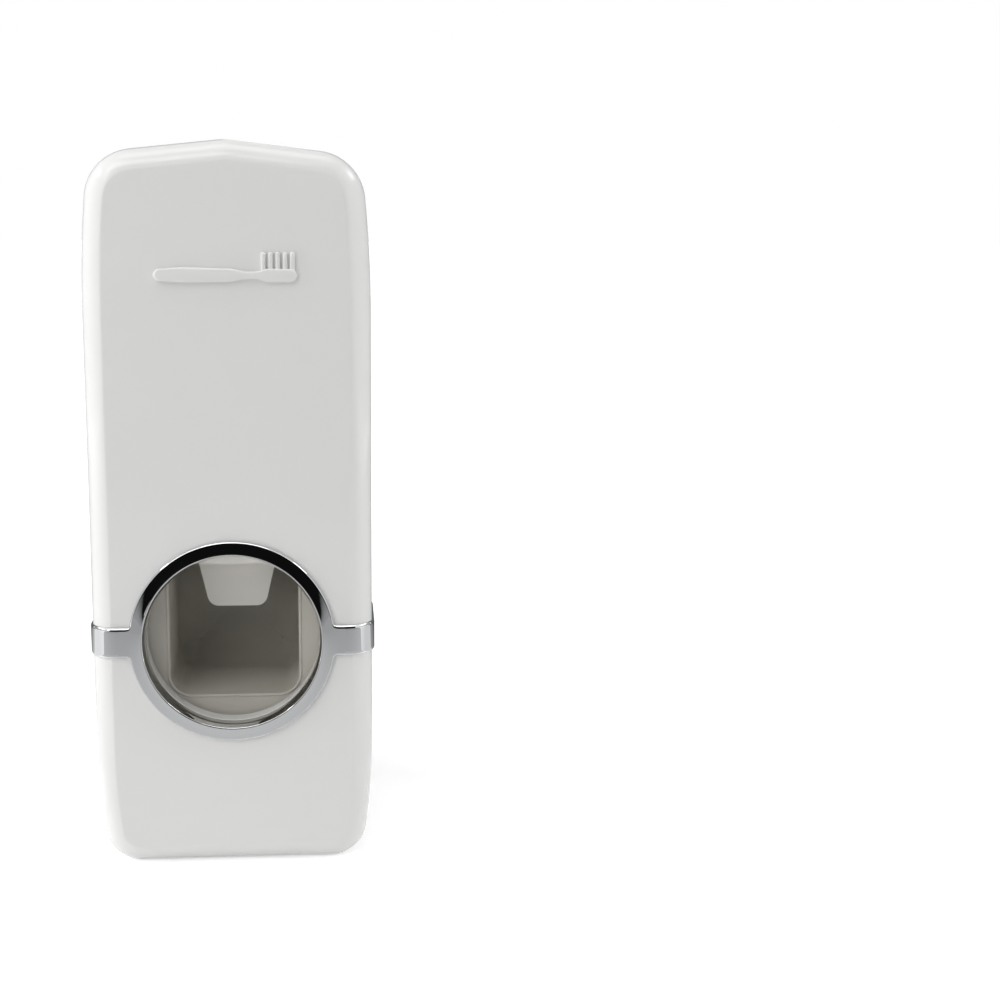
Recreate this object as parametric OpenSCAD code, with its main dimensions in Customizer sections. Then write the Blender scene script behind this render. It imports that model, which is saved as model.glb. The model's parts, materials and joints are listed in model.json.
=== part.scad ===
// Wall-mounted toothpaste dispenser: a brush pushed into the mouth drives a piston pump.
// Millimetres. +Z is up and the front looks along -Y. The origin is the middle of the face
// that is stuck to the wall. Heights in the modules are counted from the foot of the body.

/* [Body] */
// Width of the body
body_w = 62; // [60:0.5:76]
// Height of the body at its peak
body_h = 162; // [158:1:200]
// Depth from the back of the rear housing to the front face
body_d = 60.8; // [60.8:0.2:80]
// Wall thickness of the cover and the rear housing
wall = 2.2; // [1.6:0.1:2.6]
// Radius between the front face and the sides
edge_r = 4.5; // [3:0.1:6]
// Radius between the back and the sides
rear_r = 3; // [1.5:0.1:4]
// Draft of the moulded sides, in degrees
draft = 0.6; // [0:0.1:1]
// Slope of each half of the gabled top, in degrees
gable = 6.4; // [3:0.1:9]
// Corner radius at the top of the face
top_r = 11; // [8:0.5:13]
// Corner radius at the foot of the face
foot_r = 8; // [6:0.5:10]
// How far each side leans in towards the top corner
shoulder_taper = 1.15; // [0.4:0.05:1.6]
// How far each side leans in towards the foot
foot_taper = 1.45; // [0.6:0.05:2]
// Height below the peak at which the sides start to lean in
shoulder_h = 37; // [32:0.5:44]
// Height above the foot at which the sides start to lean in
foot_h = 27.5; // [20:0.5:30]
// Depth of the rear housing, up to the joint with the cover
split_d = 12.8; // [11:0.2:16]
// Length of the tongue that the cover slides over
tongue_l = 4; // [3:0.2:6]
// Thickness of that tongue
tongue_t = 1.3; // [1:0.1:1.8]
// Thickness of the foam pad on the back
pad_t = 1.2; // [0.8:0.1:2]
// Width of the foam pad
pad_w = 42; // [30:1:48]
// Height of the foam pad
pad_h = 116; // [80:1:124]

/* [Mouth and trim] */
// Height of the mouth's centre above the foot
mouth_z = 52.4; // [50:0.2:56]
// Clear radius of the trim ring
mouth_r = 19.5; // [18.6:0.1:20]
// Width of the ring's face
ring_w = 3.3; // [2.6:0.1:3.8]
// How far the ring's lip stands out of the front face
trim_proud = 1.6; // [1.2:0.1:2.2]
// How far the ring falls from its lip to its outer edge
ring_fall = 0.5; // [0.2:0.05:0.6]
// Radius of the trim's rounded edges
trim_edge = 0.5; // [0.2:0.05:0.7]
// Thickness of the collar behind the ring
collar_t = 0.8; // [0.6:0.1:1.2]
// Length of the collar behind the front face
collar_l = 2.6; // [2:0.1:4]
// Height of each trim arm
arm_h = 6.5; // [5:0.1:8]
// How far each arm stands out of the side
arm_side = 0.6; // [0.4:0.1:1]
// Outer radius of the arm where it turns round the edge
arm_bend_r = 3.6; // [2.6:0.1:4.4]
// Length of the arm along the side, behind the front face
arm_l = 22; // [12:0.5:30]
// Radius of the two studs that hold the trim
stud_r = 1.2; // [1:0.1:1.4]
// Height of the push-on clips on the studs
clip_h = 6; // [5:0.5:8]
// Thickness of those clips
clip_t = 0.6; // [0.4:0.1:0.8]

/* [Brush chamber] */
// Inside width of the chamber
chamber_w = 29.2; // [27:0.2:30]
// Height of the chamber's floor below the mouth's centre
chamber_drop = 14.6; // [13:0.2:16]
// Radius of the chamber's lower corners
chamber_r = 4.8; // [3:0.2:6]
// Wall thickness of the chamber
chamber_wall = 1.6; // [1.2:0.1:2]
// Distance of the chamber's flange behind the front face
chamber_set = 7.4; // [7.4:0.1:8]
// Depth of the chamber from its flange to its back wall
chamber_d = 33; // [31:0.5:36]
// Width of the flange
flange_w = 50; // [46:0.5:52]

/* [Pump] */
// Height of the pump's axis above the mouth's centre
pump_rise = 25.1; // [25:0.1:28]
// Travel of the paddle
stroke = 11; // [6:0.5:11]
// Bore of the cylinder
bore_d = 10; // [8:0.5:10]
// Wall thickness of the cylinder
cyl_wall = 2; // [1.6:0.1:2.4]
// Radial running clearance of the piston, the seal and the rod
running = 0.05; // [0.02:0.01:0.1]
// Length of the piston
piston_l = 6; // [5:0.5:8]
// Outer diameter of the hollow rod
rod_d = 6.4; // [5.6:0.2:6.6]
// Diameter of the paste passages
passage_d = 3.6; // [2.4:0.2:3.8]
// Thickness of the plate that closes the rear of the cylinder
end_cap_t = 1.5; // [1.2:0.1:2]
// Length of its plug in the bore
plug_l = 3; // [2.6:0.1:4]
// Thickness of the front cap that guides the rod
front_cap_t = 3.5; // [3:0.1:4]
// Cord diameter of the sealing rings
seal_d = 1.5; // [1.2:0.1:1.6]
// Wire diameter of the return spring
spring_wire = 0.6; // [0.4:0.05:0.6]
// Turns of the return spring
spring_turns = 5; // [4:0.5:5]

/* [Paddle] */
// Distance of the paddle's face behind the front face
paddle_set = 22.4; // [20:0.2:24]
// Height of the paddle's lower edge above the mouth's centre
paddle_rise = 2.4; // [0:0.2:4]
// Width of the lower edge between its rounded corners
paddle_foot = 8.8; // [7:0.2:10]
// Width of the paddle at its top
paddle_top = 20; // [17:0.2:22]
// Radius of the paddle's lower corners
paddle_r = 2.6; // [1.6:0.2:3.2]
// Thickness of the paddle
paddle_t = 2; // [1.6:0.1:2.6]
// Width of the nozzle block
block_w = 14; // [12:0.5:16]
// Depth of the nozzle block
block_d = 7.8; // [7.8:0.1:8]

/* [Tube socket] */
// Distance of the tube's neck from the back of the housing
neck_y = 28.8; // [26:0.2:32]
// Radius of the tube neck that the seal grips
neck_r = 6; // [5:0.1:6.5]
// Outer radius of the seal
grommet_r = 9; // [8.6:0.1:9.4]
// Height of the seal
grommet_h = 8; // [6:0.2:10]
// Wall of the socket round the seal
socket_wall = 2; // [1.6:0.1:2.4]
// Thickness of the tube seat
seat_t = 2; // [1.6:0.1:3]
// Height of the dished rim that centres the tube's shoulder
dish_h = 6; // [4:0.2:8]

/* [Frame and screws] */
// Thickness of the inner frame
frame_t = 2; // [1.6:0.1:2.4]
// Distance of the frame's back plate from the housing's back wall
boss_l = 3.6; // [3.2:0.1:5]
// Radius of the screw bosses
boss_r = 3.4; // [3:0.1:4]
// Shank radius of the screws
screw_r = 1.1; // [0.9:0.05:1.3]
// Head radius of the screws
head_r = 2.1; // [1.8:0.1:2.4]
// Height of the screw heads
head_t = 1.4; // [1:0.1:1.8]
// Clearance between pieces that are assembled loosely
gap = 0.3; // [0.2:0.05:0.4]

/* [Hidden] */

// Overlap of slices that are joined, and how far cuts run past a face
skin = 0.01;
over = 1;
// Lift of the trim off the face that it sits on
seat = 0.02;
half_w = body_w / 2;
// Depths, from the wall forwards
back_y = pad_t;
inner_back = back_y + wall;
split_y = back_y + split_d;
front_y = back_y + body_d;
flange_y = front_y - chamber_set;
// Cover and trim
cover_d = front_y - split_y;
lean = tan(draft);
rim_inset = cover_d * lean;
back_inset = rim_inset + split_d * lean;
collar_gap = 0.15;
tunnel_step = 0.2;
tunnel_r = mouth_r - tunnel_step;
tunnel_wall = 1.9;
collar_hole_r = mouth_r + collar_t + collar_gap;
arm_proud = trim_proud - ring_fall;
stud_x = (tunnel_r + tunnel_wall + half_w - wall) / 2;
stud_gap = 0.1;
stud_boss_t = 1;
stud_boss_r = stud_r + stud_boss_t;
stud_boss_l = 1.2;
stud_end = 2;
stud_l = wall + stud_boss_l + stud_end;
clip_grip = 0.7;
clip_w = 2 * (stud_r + clip_grip);
// Housing
pad_corner = 4;
tongue_inset = rim_inset + wall + gap;
tongue_root = 3;
groove_d = 1;
rib_t = 1.2;
rib_h = 2.2;
rib_out = 5;
rib_ends = [14, 16];
cross_ribs = [22, 112, 132];
rib_side = 6;
// Frame
plate_y = inner_back + boss_l;
plate_front = plate_y + frame_t;
cheek_x = chamber_w / 2 + chamber_wall + gap;
frame_w = 2 * (cheek_x + frame_t);
chamber_floor = mouth_z - chamber_drop;
frame_floor = chamber_floor - chamber_wall - gap;
frame_back_z = frame_floor - frame_t;
frame_front = flange_y - chamber_wall - gap;
screw_gap = 0.15;
// Share of the screw head's radius that is flat, and of its height that is upright
head_flat = 0.7;
head_rim = 0.5;
window_h = 10;
window_edge = 8;
window_rise = 4;
window_post = 4;
// Pump
pump_z = mouth_z + pump_rise;
bore_r = bore_d / 2;
passage_r = passage_d / 2;
cyl_r = bore_r + cyl_wall;
cyl_back = plate_y - frame_t / 2 + gap;
chamber_start = cyl_back + plug_l;
port_y = chamber_start + passage_r;
piston_y = chamber_start + passage_d + stroke;
piston_front = piston_y + piston_l;
end_gap = 0.4;
cyl_front = piston_front + end_gap;
cap_y = cyl_front + front_cap_t;
ear_r = 3;
ear_gap = 0.4;
ear_x = cyl_r + ear_r + ear_gap;
ear_t = 2;
web_h = 3;
gallery_wall = 1.1;
gallery_z = pump_z + cyl_r + passage_r + gap + gallery_wall;
valve_floor = 1;
socket_z = gallery_z + passage_r + valve_floor;
valve_t = 1.2;
well_step = 0.6;
well_r = passage_r + well_step;
socket_top = socket_z + valve_t + grommet_h;
socket_r = grommet_r + socket_wall;
lip_t = 1.4;
collar_plate = 1.4;
collar_top = socket_top + lip_t + collar_plate;
collar_skirt = 3;
collar_wall = 1.8;
collar_r = socket_r + gap + collar_wall;
collar_lip = 2.4;
notch_r = 0.7;
notch_rise = 0.4;
notches = 18;
neck_back = back_y + neck_y;
seat_z = socket_top - seat_t;
boss_in = 4.5;
boss_high = 14;
boss_low = 32;
boss_spots = [for (x = [-1, 1], z = [boss_high, -boss_low]) [x * (cheek_x - boss_in), pump_z + z]];
saddle_t = 2.4;
saddle_h = 3;
saddle_set = 5;
saddle_gap = 4;
saddle_spots = [plate_front + saddle_set, cyl_front - ear_r - saddle_t - saddle_gap];
plug_gap = 0.02;
plug_land = 0.8;
plug_seal_y = cyl_back + plug_land;
plug_tip = 2;
stub_r = 1.6;
stub_l = 1.4;
rod_seat = 3.4;
groove_land = 0.7;
groove_y = piston_y + seal_d / 2 + groove_land;
groove_lip = 1;
// Paddle
bar_t = 2.3;
bar_in = 1.5;
block_z = pump_z - cyl_r - gap;
bar_z = block_z - bar_t;
block_gap = 0.4;
block_y = flange_y - chamber_wall - block_gap;
block_back = block_y - block_d;
block_wall = 2.6;
block_top = pump_z + rod_d / 2 + block_wall;
chamber_rise = 1.5;
chamber_top = block_top + chamber_rise;
paddle_y = front_y - paddle_set;
paddle_back = paddle_y - paddle_t;
paddle_z = mouth_z + paddle_rise;
paddle_lean = 15;
nozzle_y = (block_y + block_back) / 2;
nozzle_r = 3;
nozzle_l = 3.2;
nozzle_fit = 0.1;
valve_set = 0.4;
rod_grip = 4;
gusset_t = 1.2;
gusset_h = 6;
gusset_l = 1.5;
gusset_in = 2.7;

// Points of an arc
function arc_pts(c, r, a0, a1, n) =
    [for (i = [0:n]) c + r * [cos(a0 + (a1 - a0) * i / n), sin(a0 + (a1 - a0) * i / n)]];

// Right half of the front outline, from the foot to the top corner. The sides lean in by
// taper * t^2, and each corner's arc starts at the angle at which the side meets it.
side_steps = 5;
shoulder_z = body_h - shoulder_h;
foot_guess = atan(2 * foot_taper / (foot_h - foot_r));
foot_turn = atan(2 * foot_taper / (foot_h - foot_r * (1 - sin(foot_guess))));
foot_c = [half_w - foot_taper - foot_r * cos(foot_turn), foot_r];
foot_z = foot_r * (1 - sin(foot_turn));
top_guess = atan(2 * shoulder_taper / (shoulder_h - top_r));
top_x = half_w - shoulder_taper - top_r * cos(top_guess);
top_c = [top_x, body_h - top_x * tan(gable) - top_r / cos(gable)];
top_turn = atan(2 * shoulder_taper / (top_c.y + top_r * sin(top_guess) - shoulder_z));
top_z = top_c.y + top_r * sin(top_turn);
top_edge = top_c.x + top_r * cos(top_turn);
foot_side = [for (i = [1:side_steps]) let (t = i / side_steps)
    [half_w - foot_taper * pow(1 - t, 2), foot_z + (foot_h - foot_z) * t]];
top_side = [for (i = [0:side_steps - 1]) let (t = i / side_steps)
    [half_w - (half_w - top_edge) * pow(t, 2), shoulder_z + (top_z - shoulder_z) * t]];
right_half = concat(arc_pts(foot_c, foot_r, -90, -foot_turn, 7), foot_side, top_side,
                    arc_pts(top_c, top_r, top_turn, 90 - gable, 8));
left_half = [for (i = [len(right_half) - 1:-1:0]) [-right_half[i].x, right_half[i].y]];
outline_pts = concat(right_half, [[0, body_h]], left_half);

// Puts a piece that is counted from the foot into the frame of the wall
module at_wall() {
    translate([0, 0, -body_h / 2])
        children();
}

// Extrudes a front-view profile from one depth to another
module depth_extrude(y0, y1) {
    translate([0, -y0, 0])
        rotate([90, 0, 0])
            linear_extrude(y1 - y0)
                children();
}

// A round bar along the depth
module rod_y(r, y0, y1, x = 0, z = 0) {
    translate([x, -y0, z])
        rotate([90, 0, 0])
            cylinder(r = r, h = y1 - y0, $fn = 48);
}

// A profile of radius and depth turned round an axis that runs forwards
module turned_y(x = 0, z = 0) {
    translate([x, 0, z])
        rotate([90, 0, 0])
            rotate_extrude($fn = 96)
                children();
}

module face_outline(inset) {
    offset(delta = -inset)
        polygon(outline_pts);
}

// Solid block with the front outline: its open end at y0, and its rounded face at y1
module outline_block(y0, y1, inset0, inset1, r, steps) {
    dir = y1 > y0 ? 1 : -1;
    hull() {
        depth_extrude(min(y0, y0 + dir * skin), max(y0, y0 + dir * skin))
            face_outline(inset0);
        for (i = [0:steps]) {
            a = 90 * i / steps;
            y = y1 - dir * (r * (1 - sin(a)) + skin);
            depth_extrude(min(y, y + dir * skin), max(y, y + dir * skin))
                face_outline(inset1 + r * (1 - cos(a)));
        }
    }
}

// Rounded rectangle in the front view, with square upper corners
module cup_profile(half, z0, z1, r) {
    translate([-half, z0 + r])
        square([2 * half, z1 - z0 - r]);
    translate([-half + r, z0])
        square([2 * (half - r), r + skin]);
    for (s = [-1, 1])
        translate([s * (half - r), z0 + r])
            circle(r = r, $fn = 48);
}

module rounded_square(w, h, r) {
    square([w - 2 * r, h], center = true);
    square([w, h - 2 * r], center = true);
    for (x = [-1, 1], z = [-1, 1])
        translate([x * (w / 2 - r), z * (h / 2 - r)])
            circle(r = r, $fn = 32);
}

// Sealing ring round the pump's axis
module seal_ring(outer_r, y) {
    translate([0, -y, pump_z])
        rotate([90, 0, 0])
            rotate_extrude($fn = 64)
                translate([outer_r - seal_d / 2, 0])
                    circle(d = seal_d, $fn = 24);
}

// Pan-head screw: the head's seat at y, the shank running back towards the wall
module screw(x, z, y, length) {
    translate([x, -y, z])
        rotate([90, 0, 0])
            rotate_extrude($fn = 32)
                polygon([[0, -length], [screw_r, -length], [screw_r, 0], [head_r, 0],
                         [head_r, head_t * head_rim], [head_r * head_flat, head_t], [0, head_t]]);
}

// Adhesive pad
module adhesive_pad() {
    color("dimgray")
        at_wall()
            translate([0, 0, body_h / 2])
                depth_extrude(0, pad_t)
                    rounded_square(pad_w, pad_h, pad_corner);
}

// Rear housing
module housing_ribs() {
    for (x = [-1, 1])
        translate([x * (cheek_x + rib_out) - rib_t / 2, -inner_back - rib_h, rib_ends[0]])
            cube([rib_t, rib_h + skin, body_h - rib_ends[0] - rib_ends[1]]);
    for (z = cross_ribs)
        translate([-half_w + rib_side, -inner_back - rib_h, z])
            cube([body_w - 2 * rib_side, rib_h + skin, rib_t]);
}

module housing_tongue() {
    depth_extrude(split_y - tongue_root, split_y + tongue_l)
        difference() {
            face_outline(tongue_inset);
            face_outline(tongue_inset + tongue_t);
        }
    depth_extrude(split_y - tongue_root, split_y - groove_d)
        difference() {
            face_outline(rim_inset + wall / 2);
            face_outline(tongue_inset + tongue_t);
        }
}

module rear_housing() {
    inner_edge = 1;
    color("whitesmoke")
        at_wall() {
            difference() {
                union() {
                    difference() {
                        outline_block(split_y, back_y, rim_inset, back_inset, rear_r, 4);
                        outline_block(split_y + skin, inner_back, rim_inset + wall,
                                      back_inset + wall, inner_edge, 2);
                    }
                    housing_ribs();
                    for (b = boss_spots)
                        rod_y(boss_r, inner_back - skin, plate_y, b.x, b.y);
                }
                for (b = boss_spots)
                    rod_y(screw_r, inner_back - wall / 2, plate_y + over, b.x, b.y);
            }
            housing_tongue();
        }
}

// Inner frame
module core_frame() {
    slot = passage_d + gap;
    color("gray")
        at_wall()
            difference() {
                union() {
                    translate([-frame_w / 2, -plate_front, frame_back_z])
                        cube([frame_w, frame_t, seat_z - frame_back_z]);
                    for (s = [-1, 1])
                        translate([s * (cheek_x + frame_t / 2) - frame_t / 2, -frame_front,
                                   frame_back_z])
                            cube([frame_t, frame_front - plate_y, seat_z - frame_back_z]);
                    translate([-frame_w / 2, -frame_front, frame_back_z])
                        cube([frame_w, frame_front - plate_y, frame_t]);
                    for (y = saddle_spots)
                        translate([-frame_w / 2, -y - saddle_t, pump_z - cyl_r - saddle_h])
                            cube([frame_w, saddle_t, cyl_r + saddle_h]);
                }
                rod_y(cyl_r + running, plate_y - over, cyl_front, 0, pump_z);
                translate([-slot, -plate_front - over, pump_z])
                    cube([2 * slot, frame_t + 2 * over, seat_z - pump_z + over]);
                for (b = boss_spots)
                    rod_y(screw_r + screw_gap, plate_y - over, plate_front + over, b.x, b.y);
                for (s = [-1, 1])
                    rod_y(screw_r, plate_y - over, plate_front + over, s * ear_x, pump_z);
                cheek_windows();
            }
}

// Two windows with a post between them, low and high in each cheek
module cheek_windows() {
    y0 = plate_front + window_edge;
    y1 = frame_front - window_edge;
    window_w = (y1 - y0 - window_post) / 2;
    for (z = [frame_floor + window_edge, pump_z + window_rise], y = [y0, y1 - window_w])
        translate([-frame_w, -y - window_w, z])
            cube([2 * frame_w, window_w, window_h]);
}

module frame_screws() {
    color("silver")
        at_wall()
            for (b = boss_spots)
                screw(b.x, b.y, plate_front, frame_t + boss_l);
}

// Brush chamber
module brush_chamber() {
    inner = chamber_w / 2;
    outer = inner + chamber_wall;
    back = flange_y - chamber_d - chamber_wall;
    flange_below = 6;
    flange_above = 4;
    flange_corner = 6;
    flange_z0 = chamber_floor - chamber_wall - flange_below;
    flange_top = chamber_top + flange_above;
    notch_below = 4;
    pump_space = cap_y + ear_r + gap;
    color("gray")
        at_wall()
            difference() {
                union() {
                    depth_extrude(back, flange_y)
                        cup_profile(outer, chamber_floor - chamber_wall, chamber_top,
                                    chamber_r + chamber_wall);
                    depth_extrude(flange_y - chamber_wall, flange_y)
                        translate([0, (flange_z0 + flange_top) / 2])
                            rounded_square(flange_w, flange_top - flange_z0, flange_corner);
                }
                depth_extrude(back + chamber_wall, flange_y + over)
                    cup_profile(inner, chamber_floor, chamber_top + over, chamber_r);
                translate([-outer - over, -pump_space, block_z - notch_below])
                    cube([2 * (outer + over), pump_space, chamber_top]);
            }
}

// Pump body: cylinder, ears, gallery and socket in one
module pump_body() {
    color("white")
        at_wall()
            difference() {
                union() {
                    rod_y(cyl_r, cyl_back, cyl_front, 0, pump_z);
                    pump_ears(cyl_front - ear_r, cyl_front);
                    pump_ears(plate_front, plate_front + ear_t);
                    translate([-passage_d, -neck_back, pump_z])
                        cube([2 * passage_d, neck_back - cyl_back, socket_z - pump_z]);
                    translate([0, -neck_back, pump_z + cyl_r + gap])
                        cylinder(r = socket_r, h = socket_top - pump_z - cyl_r - gap, $fn = 72);
                }
                rod_y(bore_r, cyl_back - over, cyl_front + over, 0, pump_z);
                rod_y(passage_r, cyl_back - over, neck_back + well_r, 0, gallery_z);
                translate([0, -port_y, pump_z])
                    cylinder(r = passage_r - gap, h = gallery_z - pump_z, $fn = 32);
                translate([0, -neck_back, gallery_z])
                    cylinder(r = well_r, h = grommet_h, $fn = 48);
                translate([0, -neck_back, socket_z])
                    cylinder(r = grommet_r, h = valve_t + grommet_h + over, $fn = 72);
                for (s = [-1, 1]) {
                    rod_y(screw_r, cyl_front - ear_r - over, cyl_front + over, s * ear_x, pump_z);
                    rod_y(screw_r + screw_gap, plate_y, plate_front + ear_t + over, s * ear_x,
                          pump_z);
                }
            }
}

// A pair of screw ears and the web between them
module pump_ears(y0, y1) {
    for (s = [-1, 1])
        rod_y(ear_r, y0, y1, s * ear_x, pump_z);
    translate([-ear_x, -y1, pump_z - web_h / 2])
        cube([2 * ear_x, y1 - y0, web_h]);
}

module pump_screws() {
    color("silver")
        at_wall()
            for (s = [-1, 1])
                screw(s * ear_x, pump_z, plate_front + ear_t, frame_t + ear_t);
}

// Rear end cap: it closes the bore and the gallery, and seats the spring
module pump_end_cap() {
    plug_r = bore_r - plug_gap;
    color("gainsboro")
        at_wall()
            difference() {
                union() {
                    rod_y(cyl_r, cyl_back - end_cap_t, cyl_back, 0, pump_z);
                    translate([-passage_d, -cyl_back, pump_z])
                        cube([2 * passage_d, end_cap_t, socket_z - pump_z]);
                    rod_y(plug_r, cyl_back - skin, chamber_start, 0, pump_z);
                    rod_y(passage_r - plug_gap, cyl_back - skin, cyl_back + plug_tip, 0, gallery_z);
                    rod_y(stub_r, chamber_start - skin, chamber_start + stub_l, 0, pump_z);
                }
                turned_y(0, pump_z)
                    translate([plug_r - seal_d - plug_gap, plug_seal_y])
                        square([seal_d + over, seal_d]);
            }
}

module end_cap_seal() {
    color("dimgray")
        at_wall()
            seal_ring(bore_r - plug_gap, plug_seal_y + seal_d / 2);
}

// Front cap with the rod's guide
module pump_front_cap() {
    color("gainsboro")
        at_wall()
            difference() {
                union() {
                    rod_y(cyl_r, cyl_front, cap_y, 0, pump_z);
                    for (s = [-1, 1])
                        rod_y(ear_r, cyl_front, cyl_front + ear_t, s * ear_x, pump_z);
                    translate([-ear_x, -cyl_front - ear_t, pump_z - ear_r])
                        cube([2 * ear_x, ear_t, 2 * ear_r]);
                }
                rod_y(rod_d / 2 + running, cyl_front - over, cap_y + over, 0, pump_z);
                for (s = [-1, 1])
                    rod_y(screw_r + screw_gap, cyl_front - over, cap_y, s * ear_x, pump_z);
            }
}

module cap_screws() {
    color("silver")
        at_wall()
            for (s = [-1, 1])
                screw(s * ear_x, pump_z, cyl_front + ear_t, ear_t + ear_r);
}

// Silicone valve over the inlet: a disc with a duckbill that points down
module inlet_valve() {
    bill_r = well_r - gap;
    disc_r = grommet_r - gap;
    bill_drop = 0.4;
    bill_z = gallery_z - bill_drop;
    tip_r = 0.8;
    cone_r = 0.6;
    land = 0.2;
    slit = 0.2;
    color("lightgray")
        at_wall()
            translate([0, -neck_back, 0])
                difference() {
                    rotate_extrude($fn = 48)
                        polygon([[0, bill_z], [tip_r, bill_z], [bill_r, socket_z - land],
                                 [bill_r, socket_z], [disc_r, socket_z],
                                 [disc_r, socket_z + valve_t], [bill_r, socket_z + valve_t],
                                 [cone_r, bill_z + valve_t], [0, bill_z + valve_t]]);
                    translate([-bill_r / 2, -slit / 2, bill_z - over / 2])
                        cube([bill_r, slit, valve_t + over]);
                }
}

// Silicone seal that grips the neck of the tube
module tube_grommet() {
    z0 = socket_z + valve_t;
    chamfer = 1;
    fit = 0.05;
    fit_r = grommet_r - fit;
    color("lightgray")
        at_wall()
            translate([0, -neck_back, 0])
                rotate_extrude($fn = 72)
                    polygon([[neck_r, z0], [fit_r, z0], [fit_r, socket_top], [socket_r, socket_top],
                             [socket_r, socket_top + lip_t], [neck_r + chamfer, socket_top + lip_t],
                             [neck_r, socket_top + lip_t - chamfer]]);
}

// Collar that clamps the seal's lip onto the socket
module grommet_collar() {
    fit = 0.1;
    inner = socket_r + fit;
    bottom = socket_top - collar_skirt;
    hole = neck_r + collar_lip;
    bevel = 0.6;
    color("white")
        at_wall()
            translate([0, -neck_back, 0])
                difference() {
                    rotate_extrude($fn = 72)
                        polygon([[inner, bottom], [collar_r, bottom], [collar_r, collar_top - bevel],
                                 [collar_r - bevel, collar_top], [hole, collar_top],
                                 [hole, socket_top + lip_t], [inner, socket_top + lip_t]]);
                    for (i = [0:notches - 1])
                        rotate([0, 0, i * 360 / notches])
                            translate([collar_r + notch_r / 2, 0, socket_top + notch_rise])
                                cylinder(r = notch_r, h = collar_top, $fn = 16);
                }
}

// Tube seat: a floor for the tube bay with a dished rim round the neck
module tube_seat() {
    hole = collar_r + gap;
    y0 = plate_y + gap;
    side_gap = 1.4;
    rim_t = 2;
    dish_w = 6;
    dish_edge = 1.6;
    head_gap = 0.4;
    seat_w = body_w - 2 * (tongue_inset + tongue_t + gap + side_gap);
    seat_front = front_y - wall - edge_r;
    color("gray")
        at_wall()
            difference() {
                union() {
                    translate([-seat_w / 2, -seat_front, seat_z])
                        cube([seat_w, seat_front - y0, seat_t]);
                    translate([0, -neck_back, seat_z])
                        rotate_extrude($fn = 72)
                            polygon([[hole, 0], [hole + rim_t, 0], [hole + dish_w, dish_h],
                                     [hole + dish_w - dish_edge, dish_h], [hole, seat_t]]);
                }
                translate([0, -neck_back, seat_z - over])
                    cylinder(r = hole, h = dish_h, $fn = 72);
                for (b = boss_spots)
                    rod_y(head_r + head_gap, plate_y - over, plate_front + head_t + head_gap,
                          b.x, b.y);
            }
}

// Piston
module piston() {
    color("gainsboro")
        at_wall()
            difference() {
                rod_y(bore_r - running, piston_y, piston_front, 0, pump_z);
                rod_y(passage_r, piston_y - over, piston_front, 0, pump_z);
                rod_y(rod_d / 2, piston_front - rod_seat, piston_front + over, 0, pump_z);
                turned_y(0, pump_z)
                    translate([bore_r - running / 2 - seal_d - plug_gap, groove_y - seal_d / 2])
                        square([seal_d + groove_lip, seal_d]);
            }
}

module piston_seal() {
    color("dimgray")
        at_wall()
            seal_ring(bore_r - running / 2, groove_y);
}

module piston_rod() {
    color("silver")
        at_wall()
            difference() {
                rod_y(rod_d / 2, piston_front - rod_seat, block_back + rod_grip, 0, pump_z);
                rod_y(passage_r, piston_y, block_y, 0, pump_z);
            }
}

// Paddle, its bar and the nozzle block, moulded in one
tab_pts = concat(arc_pts([paddle_foot / 2, paddle_z + paddle_r], paddle_r, -90, -paddle_lean, 8),
                 [[paddle_top / 2, block_z]]);

module paddle_tab() {
    left = [for (i = [len(tab_pts) - 1:-1:0]) [-tab_pts[i].x, tab_pts[i].y]];
    depth_extrude(paddle_back, paddle_y)
        polygon(concat(tab_pts, left));
}

module push_paddle() {
    color("ivory")
        at_wall()
            difference() {
                union() {
                    paddle_tab();
                    translate([-block_w / 2 + bar_in, -block_back - skin, bar_z])
                        cube([block_w - 2 * bar_in, block_back - paddle_back + skin, bar_t]);
                    translate([-block_w / 2, -block_y, bar_z])
                        cube([block_w, block_d, block_top - bar_z]);
                    for (s = [-1, 1])
                        gusset(s * (block_w / 2 - gusset_in));
                }
                rod_y(rod_d / 2, block_back - over, block_back + rod_grip, 0, pump_z);
                rod_y(passage_r, block_back, nozzle_y + passage_r, 0, pump_z);
                translate([0, -nozzle_y, bar_z - over])
                    cylinder(r = passage_r, h = pump_z - bar_z + over, $fn = 32);
                translate([0, -nozzle_y, bar_z - over])
                    cylinder(r = nozzle_r, h = over + nozzle_l, $fn = 48);
            }
}

// Thin web between the bar and the back of the tab
module gusset(x) {
    translate([x - gusset_t / 2, -paddle_back, bar_z])
        rotate([90, 0, 90])
            linear_extrude(gusset_t)
                polygon([[-skin, skin], [-skin, -gusset_h], [gusset_l, skin]]);
}

// Silicone valve in the nozzle: a small duckbill under a disc
module outlet_valve() {
    disc_r = nozzle_r - nozzle_fit;
    disc_t = 1.5;
    disc_z = valve_t;
    bill_r = 1.8;
    tip_r = 0.6;
    tip_t = 0.8;
    mouth_top = 1.4;
    mouth_foot = 1.1;
    mouth_floor = valve_t + 0.4;
    slit = 0.2;
    color("lightgray")
        at_wall()
            translate([0, -nozzle_y, bar_z + valve_set])
                difference() {
                    rotate_extrude($fn = 48)
                        polygon([[0, 0], [tip_r, 0], [bill_r, disc_z], [disc_r, disc_z],
                                 [disc_r, disc_z + disc_t], [mouth_top, disc_z + disc_t],
                                 [mouth_foot, mouth_floor], [0, tip_t]]);
                    translate([-over, -slit / 2, -over / 2])
                        cube([2 * over, slit, over + tip_t]);
                }
}

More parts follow.
